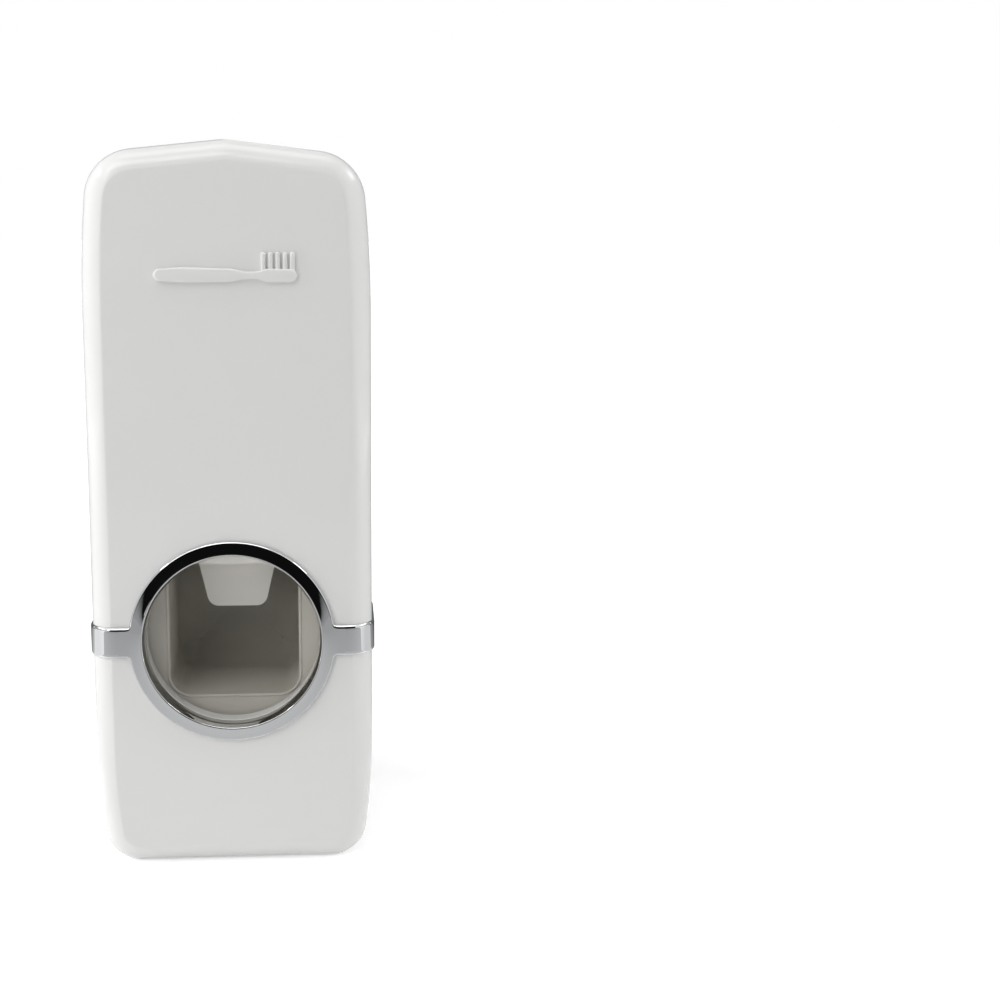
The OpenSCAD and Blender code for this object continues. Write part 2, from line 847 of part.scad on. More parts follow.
// Ring pressed into the nozzle under the valve's disc
module valve_ring() {
    ring_r = nozzle_r - nozzle_fit / 2;
    ring_hole = 1.95;
    ring_t = 1.4;
    ring_set = 0.1;
    color("white")
        at_wall()
            translate([0, -nozzle_y, bar_z + ring_set])
                difference() {
                    cylinder(r = ring_r, h = ring_t, $fn = 48);
                    translate([0, 0, -over])
                        cylinder(r = ring_hole, h = ring_t + 2 * over, $fn = 48);
                }
}

// Return spring, swept along a helix
spring_gap = 1.3;
spring_r = bore_r - spring_gap - spring_wire / 2;
spring_l = piston_y - chamber_start - 2 * skin;
spring_segs = 14;
spring_sides = 6;

function spring_ring(i) = let (
        n = spring_turns * spring_segs,
        a = 360 * i / spring_segs,
        y = chamber_start + spring_wire / 2 + skin + (spring_l - spring_wire) * i / n)
    [for (k = [0:spring_sides - 1]) let (
        b = 360 * k / spring_sides,
        r = spring_r + spring_wire / 2 * cos(b))
        [r * cos(a), -y - spring_wire / 2 * sin(b), pump_z + r * sin(a)]];

module return_spring() {
    n = spring_turns * spring_segs;
    pts = [for (i = [0:n]) each spring_ring(i)];
    s = spring_sides;
    sides = [for (i = [0:n - 1], k = [0:s - 1]) let (m = (k + 1) % s)
        [i * s + k, (i + 1) * s + k, (i + 1) * s + m, i * s + m]];
    first = [for (k = [0:s - 1]) k];
    last = [for (k = [s - 1:-1:0]) n * s + k];
    color("silver")
        at_wall()
            polyhedron(points = pts, faces = concat([first, last], sides));
}

// Front cover
module front_cover() {
    least_r = 0.8;
    inner_r = max(edge_r - wall, least_r);
    collar_room = 0.2;
    boss_back = front_y - wall - stud_boss_l;
    color("white")
        at_wall()
            difference() {
                union() {
                    difference() {
                        outline_block(split_y, front_y, rim_inset, 0, edge_r, 6);
                        outline_block(split_y - skin, front_y - wall, rim_inset + wall, wall,
                                      inner_r, 3);
                    }
                    rod_y(tunnel_r + tunnel_wall, flange_y + gap, front_y - wall / 2, 0, mouth_z);
                    for (s = [-1, 1])
                        rod_y(stud_boss_r, boss_back, front_y - wall / 2, s * stud_x, mouth_z);
                }
                rod_y(tunnel_r, flange_y, front_y + over, 0, mouth_z);
                rod_y(collar_hole_r, front_y - collar_l - collar_room, front_y + over, 0, mouth_z);
                for (s = [-1, 1])
                    rod_y(stud_r + stud_gap, boss_back - over, front_y + over, s * stud_x, mouth_z);
            }
}

// Chrome trim
// Cross-section of the ring: radius across, depth up. It falls from its lip to its outer
// edge, hollow on the way, and both edges are rounded.
module ring_profile() {
    outer = mouth_r + ring_w;
    lip_y = front_y + trim_proud;
    edge_y = front_y + arm_proud;
    e = trim_edge;
    fit = 0.25;
    across = 0.45;
    rise = 0.35;
    hollow = [[mouth_r + ring_w * across, edge_y + ring_fall * rise]];
    polygon(concat([[mouth_r + fit, front_y - collar_l], [mouth_r + collar_t, front_y - collar_l],
                    [mouth_r + collar_t, front_y + seat], [outer, front_y + seat]],
                   arc_pts([outer - e, edge_y - e], e, 0, 90, 5), hollow,
                   arc_pts([mouth_r + e, lip_y - e], e, 90, 180, 5)));
}

// Plan of the strap: it runs along the front and round both edges
module strap_plan() {
    back = front_y - arm_l;
    difference() {
        rounded_strap(half_w + arm_side, front_y + arm_proud, arm_bend_r, back);
        rounded_strap(half_w + seat, front_y + seat, edge_r, back - over);
    }
}

// Rounded front corners of half-width x, front at y, open at the back
module rounded_strap(x, y, r, back) {
    translate([-x, -y + r])
        square([2 * x, y - r - back]);
    translate([-x + r, -y])
        square([2 * (x - r), r + skin]);
    for (s = [-1, 1])
        translate([s * (x - r), -y + r])
            circle(r = r, $fn = 64);
}

module chrome_trim() {
    overlap = 0.8;
    root_r = mouth_r + ring_w - overlap;
    color("silver")
        at_wall() {
            difference() {
                translate([0, 0, mouth_z - arm_h / 2])
                    linear_extrude(arm_h)
                        strap_plan();
                rod_y(root_r, front_y - over, front_y + trim_proud + over, 0, mouth_z);
            }
            turned_y(0, mouth_z)
                ring_profile();
            for (s = [-1, 1])
                rod_y(stud_r, front_y - stud_l, front_y + arm_proud / 2, s * stud_x, mouth_z);
        }
}

// Push-on clips behind the cover's stud bosses
module trim_clips() {
    back = front_y - wall - stud_boss_l;
    color("gray")
        at_wall()
            for (s = [-1, 1])
                difference() {
                    depth_extrude(back - clip_t, back)
                        translate([s * stud_x, mouth_z])
                            square([clip_w, clip_h], center = true);
                    rod_y(stud_r, back - over, back + over, s * stud_x, mouth_z);
                }
}

adhesive_pad();
rear_housing();
core_frame();
frame_screws();
brush_chamber();
pump_body();
pump_screws();
pump_end_cap();
end_cap_seal();
pump_front_cap();
cap_screws();
inlet_valve();
tube_grommet();
grommet_collar();
tube_seat();
piston();
piston_seal();
piston_rod();
push_paddle();
outlet_valve();
valve_ring();
return_spring();
front_cover();
chrome_trim();
trim_clips();
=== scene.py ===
"""Looks of a wall-mounted toothpaste dispenser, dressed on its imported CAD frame.

Lengths in the classes are millimetres, as (x, depth from the wall, height above the foot).
Shells.build turns them into metres in the row frame, where the front looks along -Y.
"""

import json
import logging
import math
from dataclasses import dataclass
from enum import Enum
from typing import Callable, Sequence

import bmesh
import bpy
import numpy as np
from mathutils import Matrix, Vector
from numpy.typing import NDArray

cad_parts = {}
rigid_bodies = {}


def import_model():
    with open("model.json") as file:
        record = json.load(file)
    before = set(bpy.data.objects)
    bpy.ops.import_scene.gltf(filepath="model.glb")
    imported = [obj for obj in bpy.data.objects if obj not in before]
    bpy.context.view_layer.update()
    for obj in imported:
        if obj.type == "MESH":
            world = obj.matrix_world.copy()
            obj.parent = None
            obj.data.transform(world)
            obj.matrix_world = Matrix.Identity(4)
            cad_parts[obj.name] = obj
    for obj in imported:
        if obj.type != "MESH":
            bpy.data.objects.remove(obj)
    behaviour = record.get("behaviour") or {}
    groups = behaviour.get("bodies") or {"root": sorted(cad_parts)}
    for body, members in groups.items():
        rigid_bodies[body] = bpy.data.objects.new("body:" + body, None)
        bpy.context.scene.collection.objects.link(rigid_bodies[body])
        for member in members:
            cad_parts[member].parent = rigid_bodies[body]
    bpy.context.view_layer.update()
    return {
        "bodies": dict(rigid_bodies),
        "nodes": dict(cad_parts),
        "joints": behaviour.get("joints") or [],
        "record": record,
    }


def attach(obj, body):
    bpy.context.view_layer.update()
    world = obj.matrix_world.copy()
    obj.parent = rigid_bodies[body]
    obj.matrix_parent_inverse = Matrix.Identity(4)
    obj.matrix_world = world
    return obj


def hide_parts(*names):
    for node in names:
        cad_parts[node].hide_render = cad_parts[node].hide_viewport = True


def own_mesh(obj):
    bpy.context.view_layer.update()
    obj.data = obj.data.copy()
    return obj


FloatArray = NDArray[np.float64]
Line = tuple[FloatArray, FloatArray]
Pair = tuple[float, float]
Profile = tuple[Pair, ...]
Colour = tuple[float, float, float]
Place = tuple[float, float, float]
Socket = bpy.types.NodeSocket

LOG = logging.getLogger("dispenser")
MM = 0.001

# Points nearer than this are merged, in metres.
WELD = 2e-6

# Lengths that differ by less than this are the same.
SAME = 1e-6

# A small round's middle point stands in from both faces by this part of its radius.
ROUND_MIDDLE = 0.3

# Signs of the mirror image on the left, and of the one below.
LEFT, BELOW = (-1.0, 1.0), (1.0, -1.0)


@dataclass(frozen=True)
class BodySizes:
    """Sizes that several pieces share, in millimetres.

    Attributes:
        half_width: Half the width of the body.
        height: Height of the body at its peak.
        back: Depth of the housing's back face.
        front: Depth of the front face.
        split: Depth of the joint between the housing and the cover.
        wall: Wall thickness of both shells.
        edge: Size of the rounding between the front face and the sides.
        crease: Angle at which that rounding leaves the face, in degrees.
        rear: Radius between the back and the sides.
        rim: Radius of the rims at the joint.
        rim_inset: Draft inset of the sides at the joint.
        back_inset: Draft inset of the sides at the back.
        mouth: Height of the mouth's centre.
        pump: Height of the pump's axis.
    """

    half_width: float = 31.0
    height: float = 162.0
    back: float = 1.2
    front: float = 62.0
    split: float = 14.0
    wall: float = 2.2
    edge: float = 4.5
    crease: float = 24.0
    rear: float = 3.0
    rim: float = 0.25
    rim_inset: float = 0.503
    back_inset: float = 0.637
    mouth: float = 52.4
    pump: float = 77.5

    def edge_at(self, part: FloatArray) -> Line:
        """Finds points of the rounding between the face and the sides.

        It is a stretched arc that leaves the face at the crease c and meets the side smoothly:
        the way in grows as 1 - cos t, and the way back shrinks as cos c - sin t.

        Args:
            part: 0 at the side, 1 at the face.

        Returns:
            The ways in from the side and the ways back from the face.
        """
        crease = math.radians(self.crease)
        turn = (math.pi / 2 - crease) * part
        return (self.edge * (1 - np.cos(turn)) / (1 - math.sin(crease)),
                self.edge * (math.cos(crease) - np.sin(turn)) / math.cos(crease))


BODY = BodySizes()


class BodyName(Enum):
    """The CAD bodies that pieces ride on."""

    HOUSING = "housing"
    SLIDER = "slider"
    COVER = "cover"


# Geometry


def arc(start: float, end: float, steps: int) -> FloatArray:
    """Returns the directions (cos t, sin t), t from one angle in degrees to another."""
    turn = np.radians(np.linspace(start, end, steps + 1))
    return np.stack([np.cos(turn), np.sin(turn)], axis=-1)


def quarter(steps: int) -> FloatArray:
    """Returns the ways in and back of a quarter round of radius 1, from its side to its face."""
    return 1 - arc(0, 90, steps)


def round_corner(centre: Sequence[float], radius: float, start: float, end: float,
                 steps: int) -> Line:
    """Returns the points and the outward normals of an arc, angles in degrees."""
    normals = arc(start, end, steps)
    return centre + radius * normals, normals


def straight(x: FloatArray, height: FloatArray, normal: Sequence[float]) -> Line:
    """Returns the points and the normals of a straight stretch."""
    points = np.stack(np.broadcast_arrays(x, height), axis=-1)
    return points, np.tile(normal, (len(points), 1))


def joined(lines: Sequence[Line]) -> Line:
    """Returns the points and the normals of stretches in one line."""
    points, normals = zip(*lines)
    return np.concatenate(points), np.concatenate(normals)


def mirrored(half: FloatArray, flip: Pair, closed: bool = True) -> FloatArray:
    """Carries a line on with its mirror image, walked back from the point that both share.

    Args:
        half: Points or normals of the line.
        flip: Signs of the mirror image.
        closed: The line's first point is shared too, so it isn't repeated.

    Returns:
        Both halves in one line.
    """
    return np.concatenate([half, half[-2:0 if closed else None:-1] * flip])


def at_depth(contour: FloatArray, depth: FloatArray | float) -> FloatArray:
    """Returns (x, height) points as (x, depth, height) points."""
    depths = np.broadcast_to(depth, contour.shape[:-1])
    return np.stack([contour[..., 0], depths, contour[..., 1]], axis=-1)


@dataclass(frozen=True)
class Contour:
    """A closed front-view line whose points move inwards along their own normals.

    Attributes:
        points: The (x, height) points.
        normals: The outward steps that one millimetre of inset takes back.
    """

    points: FloatArray
    normals: FloatArray

    def inset(self, amount: FloatArray | float) -> FloatArray:
        """Returns the points moved inwards by an amount."""
        return self.points - amount * self.normals

    @classmethod
    def rounded(cls, width: float, height: float, radius: float, centre: Pair,
                steps: int) -> "Contour":
        """Makes a rectangle with round corners.

        Args:
            width: Its width.
            height: Its height.
            radius: Radius of its corners.
            centre: Its centre.
            steps: Stretches in a corner.

        Returns:
            The contour.
        """
        corners = []
        for turn, sx, sz in ((0, 1, 1), (90, -1, 1), (180, -1, -1), (270, 1, -1)):
            middle = (centre[0] + sx * (width / 2 - radius), centre[1] + sz * (height / 2 - radius))
            corners.append(round_corner(middle, radius, turn, turn + 90, steps))
        return cls(*joined(corners))


class Shells:
    """Collects closed shells and makes one mesh object of them."""

    def __init__(self) -> None:
        """Starts with no shell."""
        self.points: list[FloatArray] = []
        self.faces: list[tuple[int, ...]] = []
        self.count = 0

    def loft(self, loops: FloatArray, ring: bool = False, open_start: bool = False) -> None:
        """Joins closed loops into a shell.

        Args:
            loops: Points of shape (loops, points in a loop, 3).
            ring: Joins the last loop to the first one; otherwise both ends get a face.
            open_start: Leaves out the face at the first loop.
        """
        rows, cols, _ = loops.shape
        i, j = np.meshgrid(np.arange(rows if ring else rows - 1), np.arange(cols),
                           indexing="ij")
        near, far, side = i * cols, (i + 1) % rows * cols, (j + 1) % cols
        quads = np.stack([near + j, near + side, far + side, far + j], axis=-1).reshape(-1, 4)
        faces = quads.tolist()
        if not ring:
            starts = [] if open_start else [range(cols - 1, -1, -1)]
            faces += [*starts, range((rows - 1) * cols, rows * cols)]
        self.faces += [tuple(self.count + i for i in face) for face in faces]
        self.points.append(loops.reshape(-1, 3))
        self.count += rows * cols

    def lathe(self, profile: Sequence[Pair], centre: Pair, sides: int, ring: bool = False) -> None:
        """Turns a profile round an axis that runs along the depth.

        Args:
            profile: Points (radius, depth).
            centre: The axis, as (x, height).
            sides: Number of sides of the turned shape.
            ring: The profile is a closed loop round its own section.
        """
        turn = np.linspace(0, 2 * np.pi, sides, endpoint=False)
        radius, depth = np.array(profile, float).T[..., None]
        circles = [centre[0] + radius * np.cos(turn), centre[1] + radius * np.sin(turn)]
        self.loft(at_depth(np.stack(circles, axis=-1), depth), ring)

    def slab(self, contour: Contour, back: float, front: float, bevel: float,
             steps: int = 3) -> None:
        """Extrudes a contour along the depth, with a rounded front edge.

        Args:
            contour: The contour.
            back: Depth of the flat back.
            front: Depth of the flat front.
            bevel: Radius of the front edge.
            steps: Rows of faces round that edge.
        """
        loops = [at_depth(contour.points, back)]
        loops += [at_depth(contour.inset(way), front - fall)
                  for way, fall in bevel * quarter(steps)]
        self.loft(np.array(loops))

    def box(self, low: Place, high: Place) -> None:
        """Adds a box.

        Args:
            low: Its corner with the smallest numbers.
            high: Its corner with the largest numbers.
        """
        corners = np.array([(low[0], low[2]), (high[0], low[2]), (high[0], high[2]),
                            (low[0], high[2])])
        self.loft(np.array([at_depth(corners, low[1]), at_depth(corners, high[1])]))

    def build(self, name: str, smooth: float = 35.0) -> bpy.types.Object:
        """Makes the object, in metres in the row frame.

        Args:
            name: Name of the object.
            smooth: Largest angle between faces that are shaded as one surface, in degrees.

        Returns:
            The new mesh object, linked to the scene.
        """
        points = np.concatenate(self.points) - [0, 0, BODY.height / 2]
        mesh = bpy.data.meshes.new(name)
        mesh.from_pydata((points * [1, -1, 1] * MM).tolist(), [], self.faces)
        return finished_object(name, mesh, smooth)


def finished_object(name: str, mesh: bpy.types.Mesh, smooth: float) -> bpy.types.Object:
    """Welds a mesh, turns its faces outwards, shades it and links its object.

    Args:
        name: Name of the object.
        mesh: Its mesh.
        smooth: Largest angle between faces that are shaded as one surface, in degrees.

    Returns:
        The new object.
    """
    shape = bmesh.new()
    shape.from_mesh(mesh)
    bmesh.ops.remove_doubles(shape, verts=shape.verts, dist=WELD)
    bmesh.ops.recalc_face_normals(shape, faces=shape.faces)
    shape.to_mesh(mesh)
    shape.free()
    mesh.polygons.foreach_set("use_smooth", [True] * len(mesh.polygons))
    mesh.set_sharp_from_angle(angle=math.radians(smooth))
    piece = bpy.data.objects.new(name, mesh)
    bpy.context.scene.collection.objects.link(piece)
    return piece


@dataclass(frozen=True)
class FaceOutline:
    """The gabled outline of the body, seen from the front.

    The corners are arcs that meet the leaning sides without a kink. A side leans as
    x = half width - lean * t^2, where t runs from 0 where the side is upright to 1 at the arc.
    """

    foot_radius: float = 8.0
    foot_turn: float = 8.0
    foot_centre: float = 21.63
    foot_lean: float = 1.448
    foot_start: float = 27.5
    top_radius: float = 11.0
    top_turn: float = 5.28
    top_centre: Pair = (18.9, 148.81)
    top_lean: float = 1.147
    top_start: float = 125.0
    gable: float = 6.4
    peak_radius: float = 5.0

    def contour(self) -> Contour:
        """Joins the floor, the corners, the sides and the roof of the right half, and mirrors it.

        Returns:
            The outline, with the same points at every inset.
        """
        floor = np.linspace(0, math.atan(self.foot_centre / BODY.mouth), 9)[:-1]
        foot_top = self.foot_radius * (1 - math.sin(math.radians(self.foot_turn)))
        top_low = self.top_centre[1] + self.top_radius * math.sin(math.radians(self.top_turn))
        half = joined([
            straight(BODY.mouth * np.tan(floor), 0.0, (0.0, -1.0)),
            round_corner((self.foot_centre, self.foot_radius), self.foot_radius, -90,
                         -self.foot_turn, steps=10),
            self.side(foot_top, self.foot_start, self.foot_lean, foot=True, steps=7),
            self.upright(),
            self.side(self.top_start, top_low, self.top_lean, foot=False, steps=9),
            round_corner(self.top_centre, self.top_radius, self.top_turn, 90 - self.gable,
                         steps=14),
            self.roof()])
        return Contour(*(mirrored(part, LEFT) for part in half))

    @staticmethod
    def side(low: float, high: float, lean: float, foot: bool, steps: int) -> Line:
        """Finds the inner points of a leaning side.

        Args:
            low: Height of its lower end.
            high: Height of its upper end.
            lean: How far it leans in.
            foot: It leans in downwards; otherwise upwards.
            steps: Number of stretches.

        Returns:
            The points and their normals.
        """
        t = np.linspace(0, 1, steps + 1)[1:-1]
        away = 1 - t if foot else t
        x = BODY.half_width - lean * away**2
        slope = 2 * lean * away / (high - low) * (1 if foot else -1)
        normal = np.stack([np.ones_like(slope), -slope], axis=-1)
        normal /= np.linalg.norm(normal, axis=1)[:, None]
        return np.stack([x, low + (high - low) * t], axis=-1), normal

    def upright(self) -> Line:
        """Divides the upright part of the side in equal angles, as seen from the mouth.

        Returns:
            The points and their normals.
        """
        ends = [math.atan((z - BODY.mouth) / BODY.half_width)
                for z in (self.foot_start, self.top_start)]
        z = BODY.mouth + BODY.half_width * np.tan(np.linspace(*ends, 43))
        return straight(BODY.half_width, z, (1.0, 0.0))

    def roof(self) -> Line:
        """Makes one half of the gable, up to and with the softly rounded peak.

        Returns:
            The points and their normals.
        """
        pitch = math.radians(self.gable)
        start = self.top_centre[0] + self.top_radius * math.sin(pitch)
        x = np.linspace(start, self.peak_radius * math.sin(pitch), 9)[1:-1]
        centre = (0.0, BODY.height - self.peak_radius / math.cos(pitch))
        return joined([straight(x, BODY.height - x * math.tan(pitch),
                                (math.sin(pitch), math.cos(pitch))),
                       round_corner(centre, self.peak_radius, 90 - self.gable, 90, steps=4)])


OUTLINE = FaceOutline().contour()


def outline_loops(rows: Sequence[Pair]) -> list[FloatArray]:
    """Returns the body's outline at each (inset, depth)."""
    return [at_depth(OUTLINE.inset(inset), depth) for inset, depth in rows]


def mouth_loops(rows: Sequence[Pair]) -> list[FloatArray]:
    """Makes circles round the mouth whose points face those of the outline.

    Args:
        rows: The (radius, depth) of each circle.

    Returns:
        The circles.
    """
    aim = OUTLINE.inset(BODY.edge) - [0.0, BODY.mouth]
    aim = aim / np.linalg.norm(aim, axis=1)[:, None]
    return [at_depth(radius * aim + [0.0, BODY.mouth], depth) for radius, depth in rows]


# Materials


class Graph:
    """A short way to add and link shader nodes."""

    def __init__(self, tree: bpy.types.NodeTree) -> None:
        """Wraps an empty node tree."""
        self.tree = tree

    def add(self, kind: str, **inputs: object) -> bpy.types.Node:
        """Adds a node and sets or links its inputs.

        Args:
            kind: Type of the node, without the ShaderNode prefix.
            inputs: Values or output sockets by input name, with _ for a blank; a name that
                starts with at_ is the input's place in the list, and set_ a property.

        Returns:
            The new node.
        """
        node = self.tree.nodes.new("ShaderNode" + kind)
        properties = {key for key in inputs if key.startswith("set_")}
        for key in properties:
            setattr(node, key.removeprefix("set_"), inputs[key])
        for key, value in inputs.items():
            if key in properties:
                continue
            name = int(key[3:]) if key.startswith("at_") else key.replace("_", " ")
            if isinstance(value, Socket):
                self.tree.links.new(value, node.inputs[name])
            else:
                node.inputs[name].default_value = value
        return node

    def math(self, operation: str, first: object, second: object) -> Socket:
        """Adds a math node and returns its result."""
        return self.add("Math", set_operation=operation, at_0=first, at_1=second).outputs[0]

    def place(self) -> Socket:
        """Returns the place on the object."""
        return self.add("TexCoord").outputs["Object"]

    def noise(self, place: Socket, scale: float, detail: float) -> Socket:
        """Returns a noise from 0 to 1."""
        return self.add("TexNoise", Vector=place, Scale=scale, Detail=detail).outputs["Fac"]

    def swing(self, value: Socket, strength: object) -> Socket:
        """Returns how far a value is from its middle, times a strength."""
        return self.math("MULTIPLY", self.math("SUBTRACT", value, 0.5), strength)

    def tint(self, colour: Socket, light: object) -> Socket:
        """Returns a colour times a light."""
        return self.add("VectorMath", set_operation="SCALE", at_0=colour, Scale=light).outputs[0]

    def ramp(self, value: Socket, start: float, end: float, low: float, high: float) -> Socket:
        """Returns low up to the start, high past the end, and an even change between them."""
        return self.add("MapRange", Value=value, From_Min=start, From_Max=end, To_Min=low,
                        To_Max=high).outputs[0]

    def seen(self) -> Socket:
        """Tells rays that see, mirror or pass through from those that light.

        Returns:
            1 for the first kind, 0 for the second.
        """
        path = self.add("LightPath").outputs
        mirrors = self.math("MAXIMUM", path["Is Camera Ray"], path["Is Glossy Ray"])
        return self.math("MAXIMUM", mirrors, path["Is Transmission Ray"])


SOCKETS = {"Colour": "NodeSocketColor", "Normal": "NodeSocketVector",
           "Stretch": "NodeSocketVector"}
Sockets = dict[str, Socket]


def new_group(name: str, inputs: dict[str, object],
              effect: Callable[[Graph, Sockets], Sockets]) -> bpy.types.NodeTree:
    """Makes a shader group.

    Args:
        name: Name of the group.
        inputs: Default values by name.
        effect: Adds the group's nodes to its graph and turns its inputs into its outputs.

    Returns:
        The group.
    """
    graph = Graph(bpy.data.node_groups.new(name, "ShaderNodeTree"))
    interface = graph.tree.interface
    for label, value in inputs.items():
        socket = interface.new_socket(label, in_out="INPUT",
                                      socket_type=SOCKETS.get(label, "NodeSocketFloat"))
        socket.default_value = value
    results = effect(graph, graph.tree.nodes.new("NodeGroupInput").outputs)
    for label in results:
        interface.new_socket(label, in_out="OUTPUT",
                             socket_type=SOCKETS.get(label, "NodeSocketFloat"))
    end = graph.tree.nodes.new("NodeGroupOutput")
    for label, socket in results.items():
        graph.tree.links.new(socket, end.inputs[label])
    return graph.tree


def moulded_effect(graph: Graph, given: Sockets) -> Sockets:
    """Makes moulded plastic: a faint mottle, uneven gloss and a fine skin.

    Args:
        graph: The group's graph.
        given: The group's inputs by name.

    Returns:
        The group's outputs by name.
    """
    place = graph.place()
    cloud = graph.noise(place, scale=60.0, detail=3.0)
    grain = graph.noise(place, scale=2600.0, detail=2.0)
    smear = graph.noise(place, scale=180.0, detail=4.0)
    light = graph.math("ADD", graph.swing(cloud, given["Mottle"]), 1.0)
    rough = graph.math("ADD", graph.swing(smear, given["Wear"]), given["Gloss"])
    bump = graph.add("Bump", Strength=given["Skin"], Distance=0.00004, Height=grain)
    return {"Colour": graph.tint(given["Colour"], light), "Roughness": rough,
            "Normal": bump.outputs[0]}


def drawn_effect(graph: Graph, given: Sockets) -> Sockets:
    """Makes metal: fine drawn streaks along a chosen direction.

    Args:
        graph: The group's graph.
        given: The group's inputs by name.

    Returns:
        The group's outputs by name.
    """
    grain = graph.add("VectorMath", set_operation="MULTIPLY", at_0=graph.place(),
                      at_1=given["Stretch"]).outputs[0]
    streak = graph.noise(grain, scale=6.0, detail=3.0)
    swing = graph.swing(streak, given["Streak"])
    bump = graph.add("Bump", Strength=given["Streak"], Distance=0.00003, Height=streak)
    return {"Colour": graph.tint(given["Colour"], graph.math("ADD", swing, 1.0)),
            "Roughness": graph.math("ADD", swing, given["Gloss"]), "Normal": bump.outputs[0]}


def foam_effect(graph: Graph, given: Sockets) -> Sockets:
    """Makes foam: small closed cells.

    A cell's colour is painted shade: 1.1 less 0.35 times the distance from its middle, so it
    darkens towards the sunk grooves between cells.

    Args:
        graph: The group's graph.
        given: The group's inputs by name.

    Returns:
        The group's outputs by name.
    """
    cells = graph.add("TexVoronoi", Vector=graph.place(), Scale=1600.0).outputs["Distance"]
    # Painted shade: darker towards each cell's sunk edge.
    light = graph.math("ADD", graph.math("MULTIPLY", cells, -0.35), 1.1)
    bump = graph.add("Bump", Strength=0.6, Distance=0.0002, Height=cells, set_invert=True)
    return {"Colour": graph.tint(given["Colour"], light), "Normal": bump.outputs[0]}


def new_material(name: str) -> tuple[bpy.types.Material, Graph]:
    """Makes an empty material.

    Args:
        name: Name of the material.

    Returns:
        The material and its graph.
    """
    material = bpy.data.materials.new(name)
    material.use_nodes = True
    material.node_tree.nodes.clear()
    return material, Graph(material.node_tree)


@dataclass(frozen=True)
class Look:
    """What every finish has.

    Attributes:
        name: The record's slot name.
        colour: Linear base colour.
    """

    name: str
    colour: Colour

    def made(self, group: str, effect: Callable[[Graph, Sockets], Sockets],
             inputs: dict[str, object], shading: dict[str, object]) -> bpy.types.Material:
        """Makes a material of a shader group, which is made on its first use.

        Args:
            group: Name of the group.
            effect: What the group does.
            inputs: Values of the group's inputs by name, next to its colour.
            shading: Values of the shader's own inputs by name.

        Returns:
            The material.
        """
        material, graph = new_material(self.name + "_look")
        inputs = {"Colour": (*self.colour, 1), **inputs}
        tree = bpy.data.node_groups.get(group) or new_group(group, inputs, effect)
        results = graph.add("Group", set_node_tree=tree, **inputs).outputs
        fed = {label: results[label] for label in ("Roughness", "Normal") if label in results}
        shader = graph.add("BsdfPrincipled", Base_Color=results["Colour"], **fed, **shading)
        graph.add("OutputMaterial", Surface=shader.outputs[0])
        return material


@dataclass(frozen=True)
class Plastic(Look):
    """A moulded plastic or rubber.

    Attributes:
        gloss: Roughness.
        mottle: Strength of the faint change of colour.
        wear: How much the roughness changes.
        skin: Strength of the fine surface texture.
        coat: Weight of a clear, polished skin.
        soft: Weight of the light that scatters inside.
    """

    gloss: float = 0.25
    mottle: float = 0.03
    wear: float = 0.06
    skin: float = 0.1
    coat: float = 0.0
    soft: float = 0.0

    def material(self) -> bpy.types.Material:
        """Returns the finish as a material."""
        return self.made("moulded_surface", moulded_effect,
                         {"Mottle": self.mottle, "Gloss": self.gloss, "Wear": self.wear,
                          "Skin": self.skin},
                         {"Coat_Weight": self.coat, "Coat_Roughness": 0.05, "IOR": 1.48,
                          "Subsurface_Weight": self.soft, "Subsurface_Scale": 0.002})


@dataclass(frozen=True)
class Metal(Look):
    """A metal or a plated surface.

    Attributes:
        gloss: Roughness.
        streak: Strength of the drawn streaks.
        stretch: Scale of the streaks along each axis.
    """

    gloss: float = 0.2
    streak: float = 0.1
    stretch: Place = (400.0, 40.0, 400.0)

    def material(self) -> bpy.types.Material:
        """Returns the finish as a material."""
        return self.made("drawn_surface", drawn_effect,
                         {"Gloss": self.gloss, "Streak": self.streak, "Stretch": self.stretch},
                         {"Metallic": 1.0})


@dataclass(frozen=True)
class Foam(Look):
    """Closed-cell foam tape."""

    def material(self) -> bpy.types.Material:
        """Returns the finish as a material."""
        return self.made("foam_surface", foam_effect, {}, {"Roughness": 0.9})


class Finish(Enum):
    """The finishes by the record's slot names."""

    WHITE = Plastic("white_gloss_abs", (0.80, 0.80, 0.79), gloss=0.16, wear=0.03, skin=0.05,
                    coat=0.3, mottle=0.015)
    # The inside pieces' grey is painted shade: their plastic is near white, darkened to stand for
    # the shade deep in the chamber.
    INNER = Plastic("inner_abs", (0.48, 0.46, 0.41), gloss=0.42, mottle=0.06, skin=0.35)
    RESIN = Plastic("pump_resin", (0.78, 0.78, 0.74), gloss=0.3, soft=0.15)
    # The paddle's cream is its own colour made lighter: painted light, for light that the ring
    # keeps off it deep in the mouth.
    CREAM = Plastic("cream_acetal", (0.94, 0.92, 0.86), gloss=0.34, skin=0.2)
    CHROME = Metal("chromed_abs", (0.74, 0.75, 0.76), gloss=0.02, streak=0.03,
                   stretch=(260.0, 260.0, 260.0))
    SILICONE = Plastic("silicone", (0.72, 0.72, 0.68), gloss=0.45, soft=0.5, skin=0.2)
    STEEL = Metal("stainless_steel", (0.62, 0.62, 0.62), gloss=0.18)
    ZINC = Metal("zinc_steel", (0.62, 0.63, 0.62), gloss=0.28, stretch=(200.0, 200.0, 200.0))
    FOAM = Foam("foam_tape", (0.52, 0.52, 0.51))

    def apply(self, piece: bpy.types.Object) -> None:
        """Gives a piece this finish, as a material named after the record's slot.

        Args:
            piece: The piece.
        """
        made = bpy.data.materials.get(self.value.name + "_look") or self.value.material()
        piece.data.materials.clear()
        piece.data.materials.append(made)


FormRows = tuple[tuple[str, Finish, float], ...]


# The object


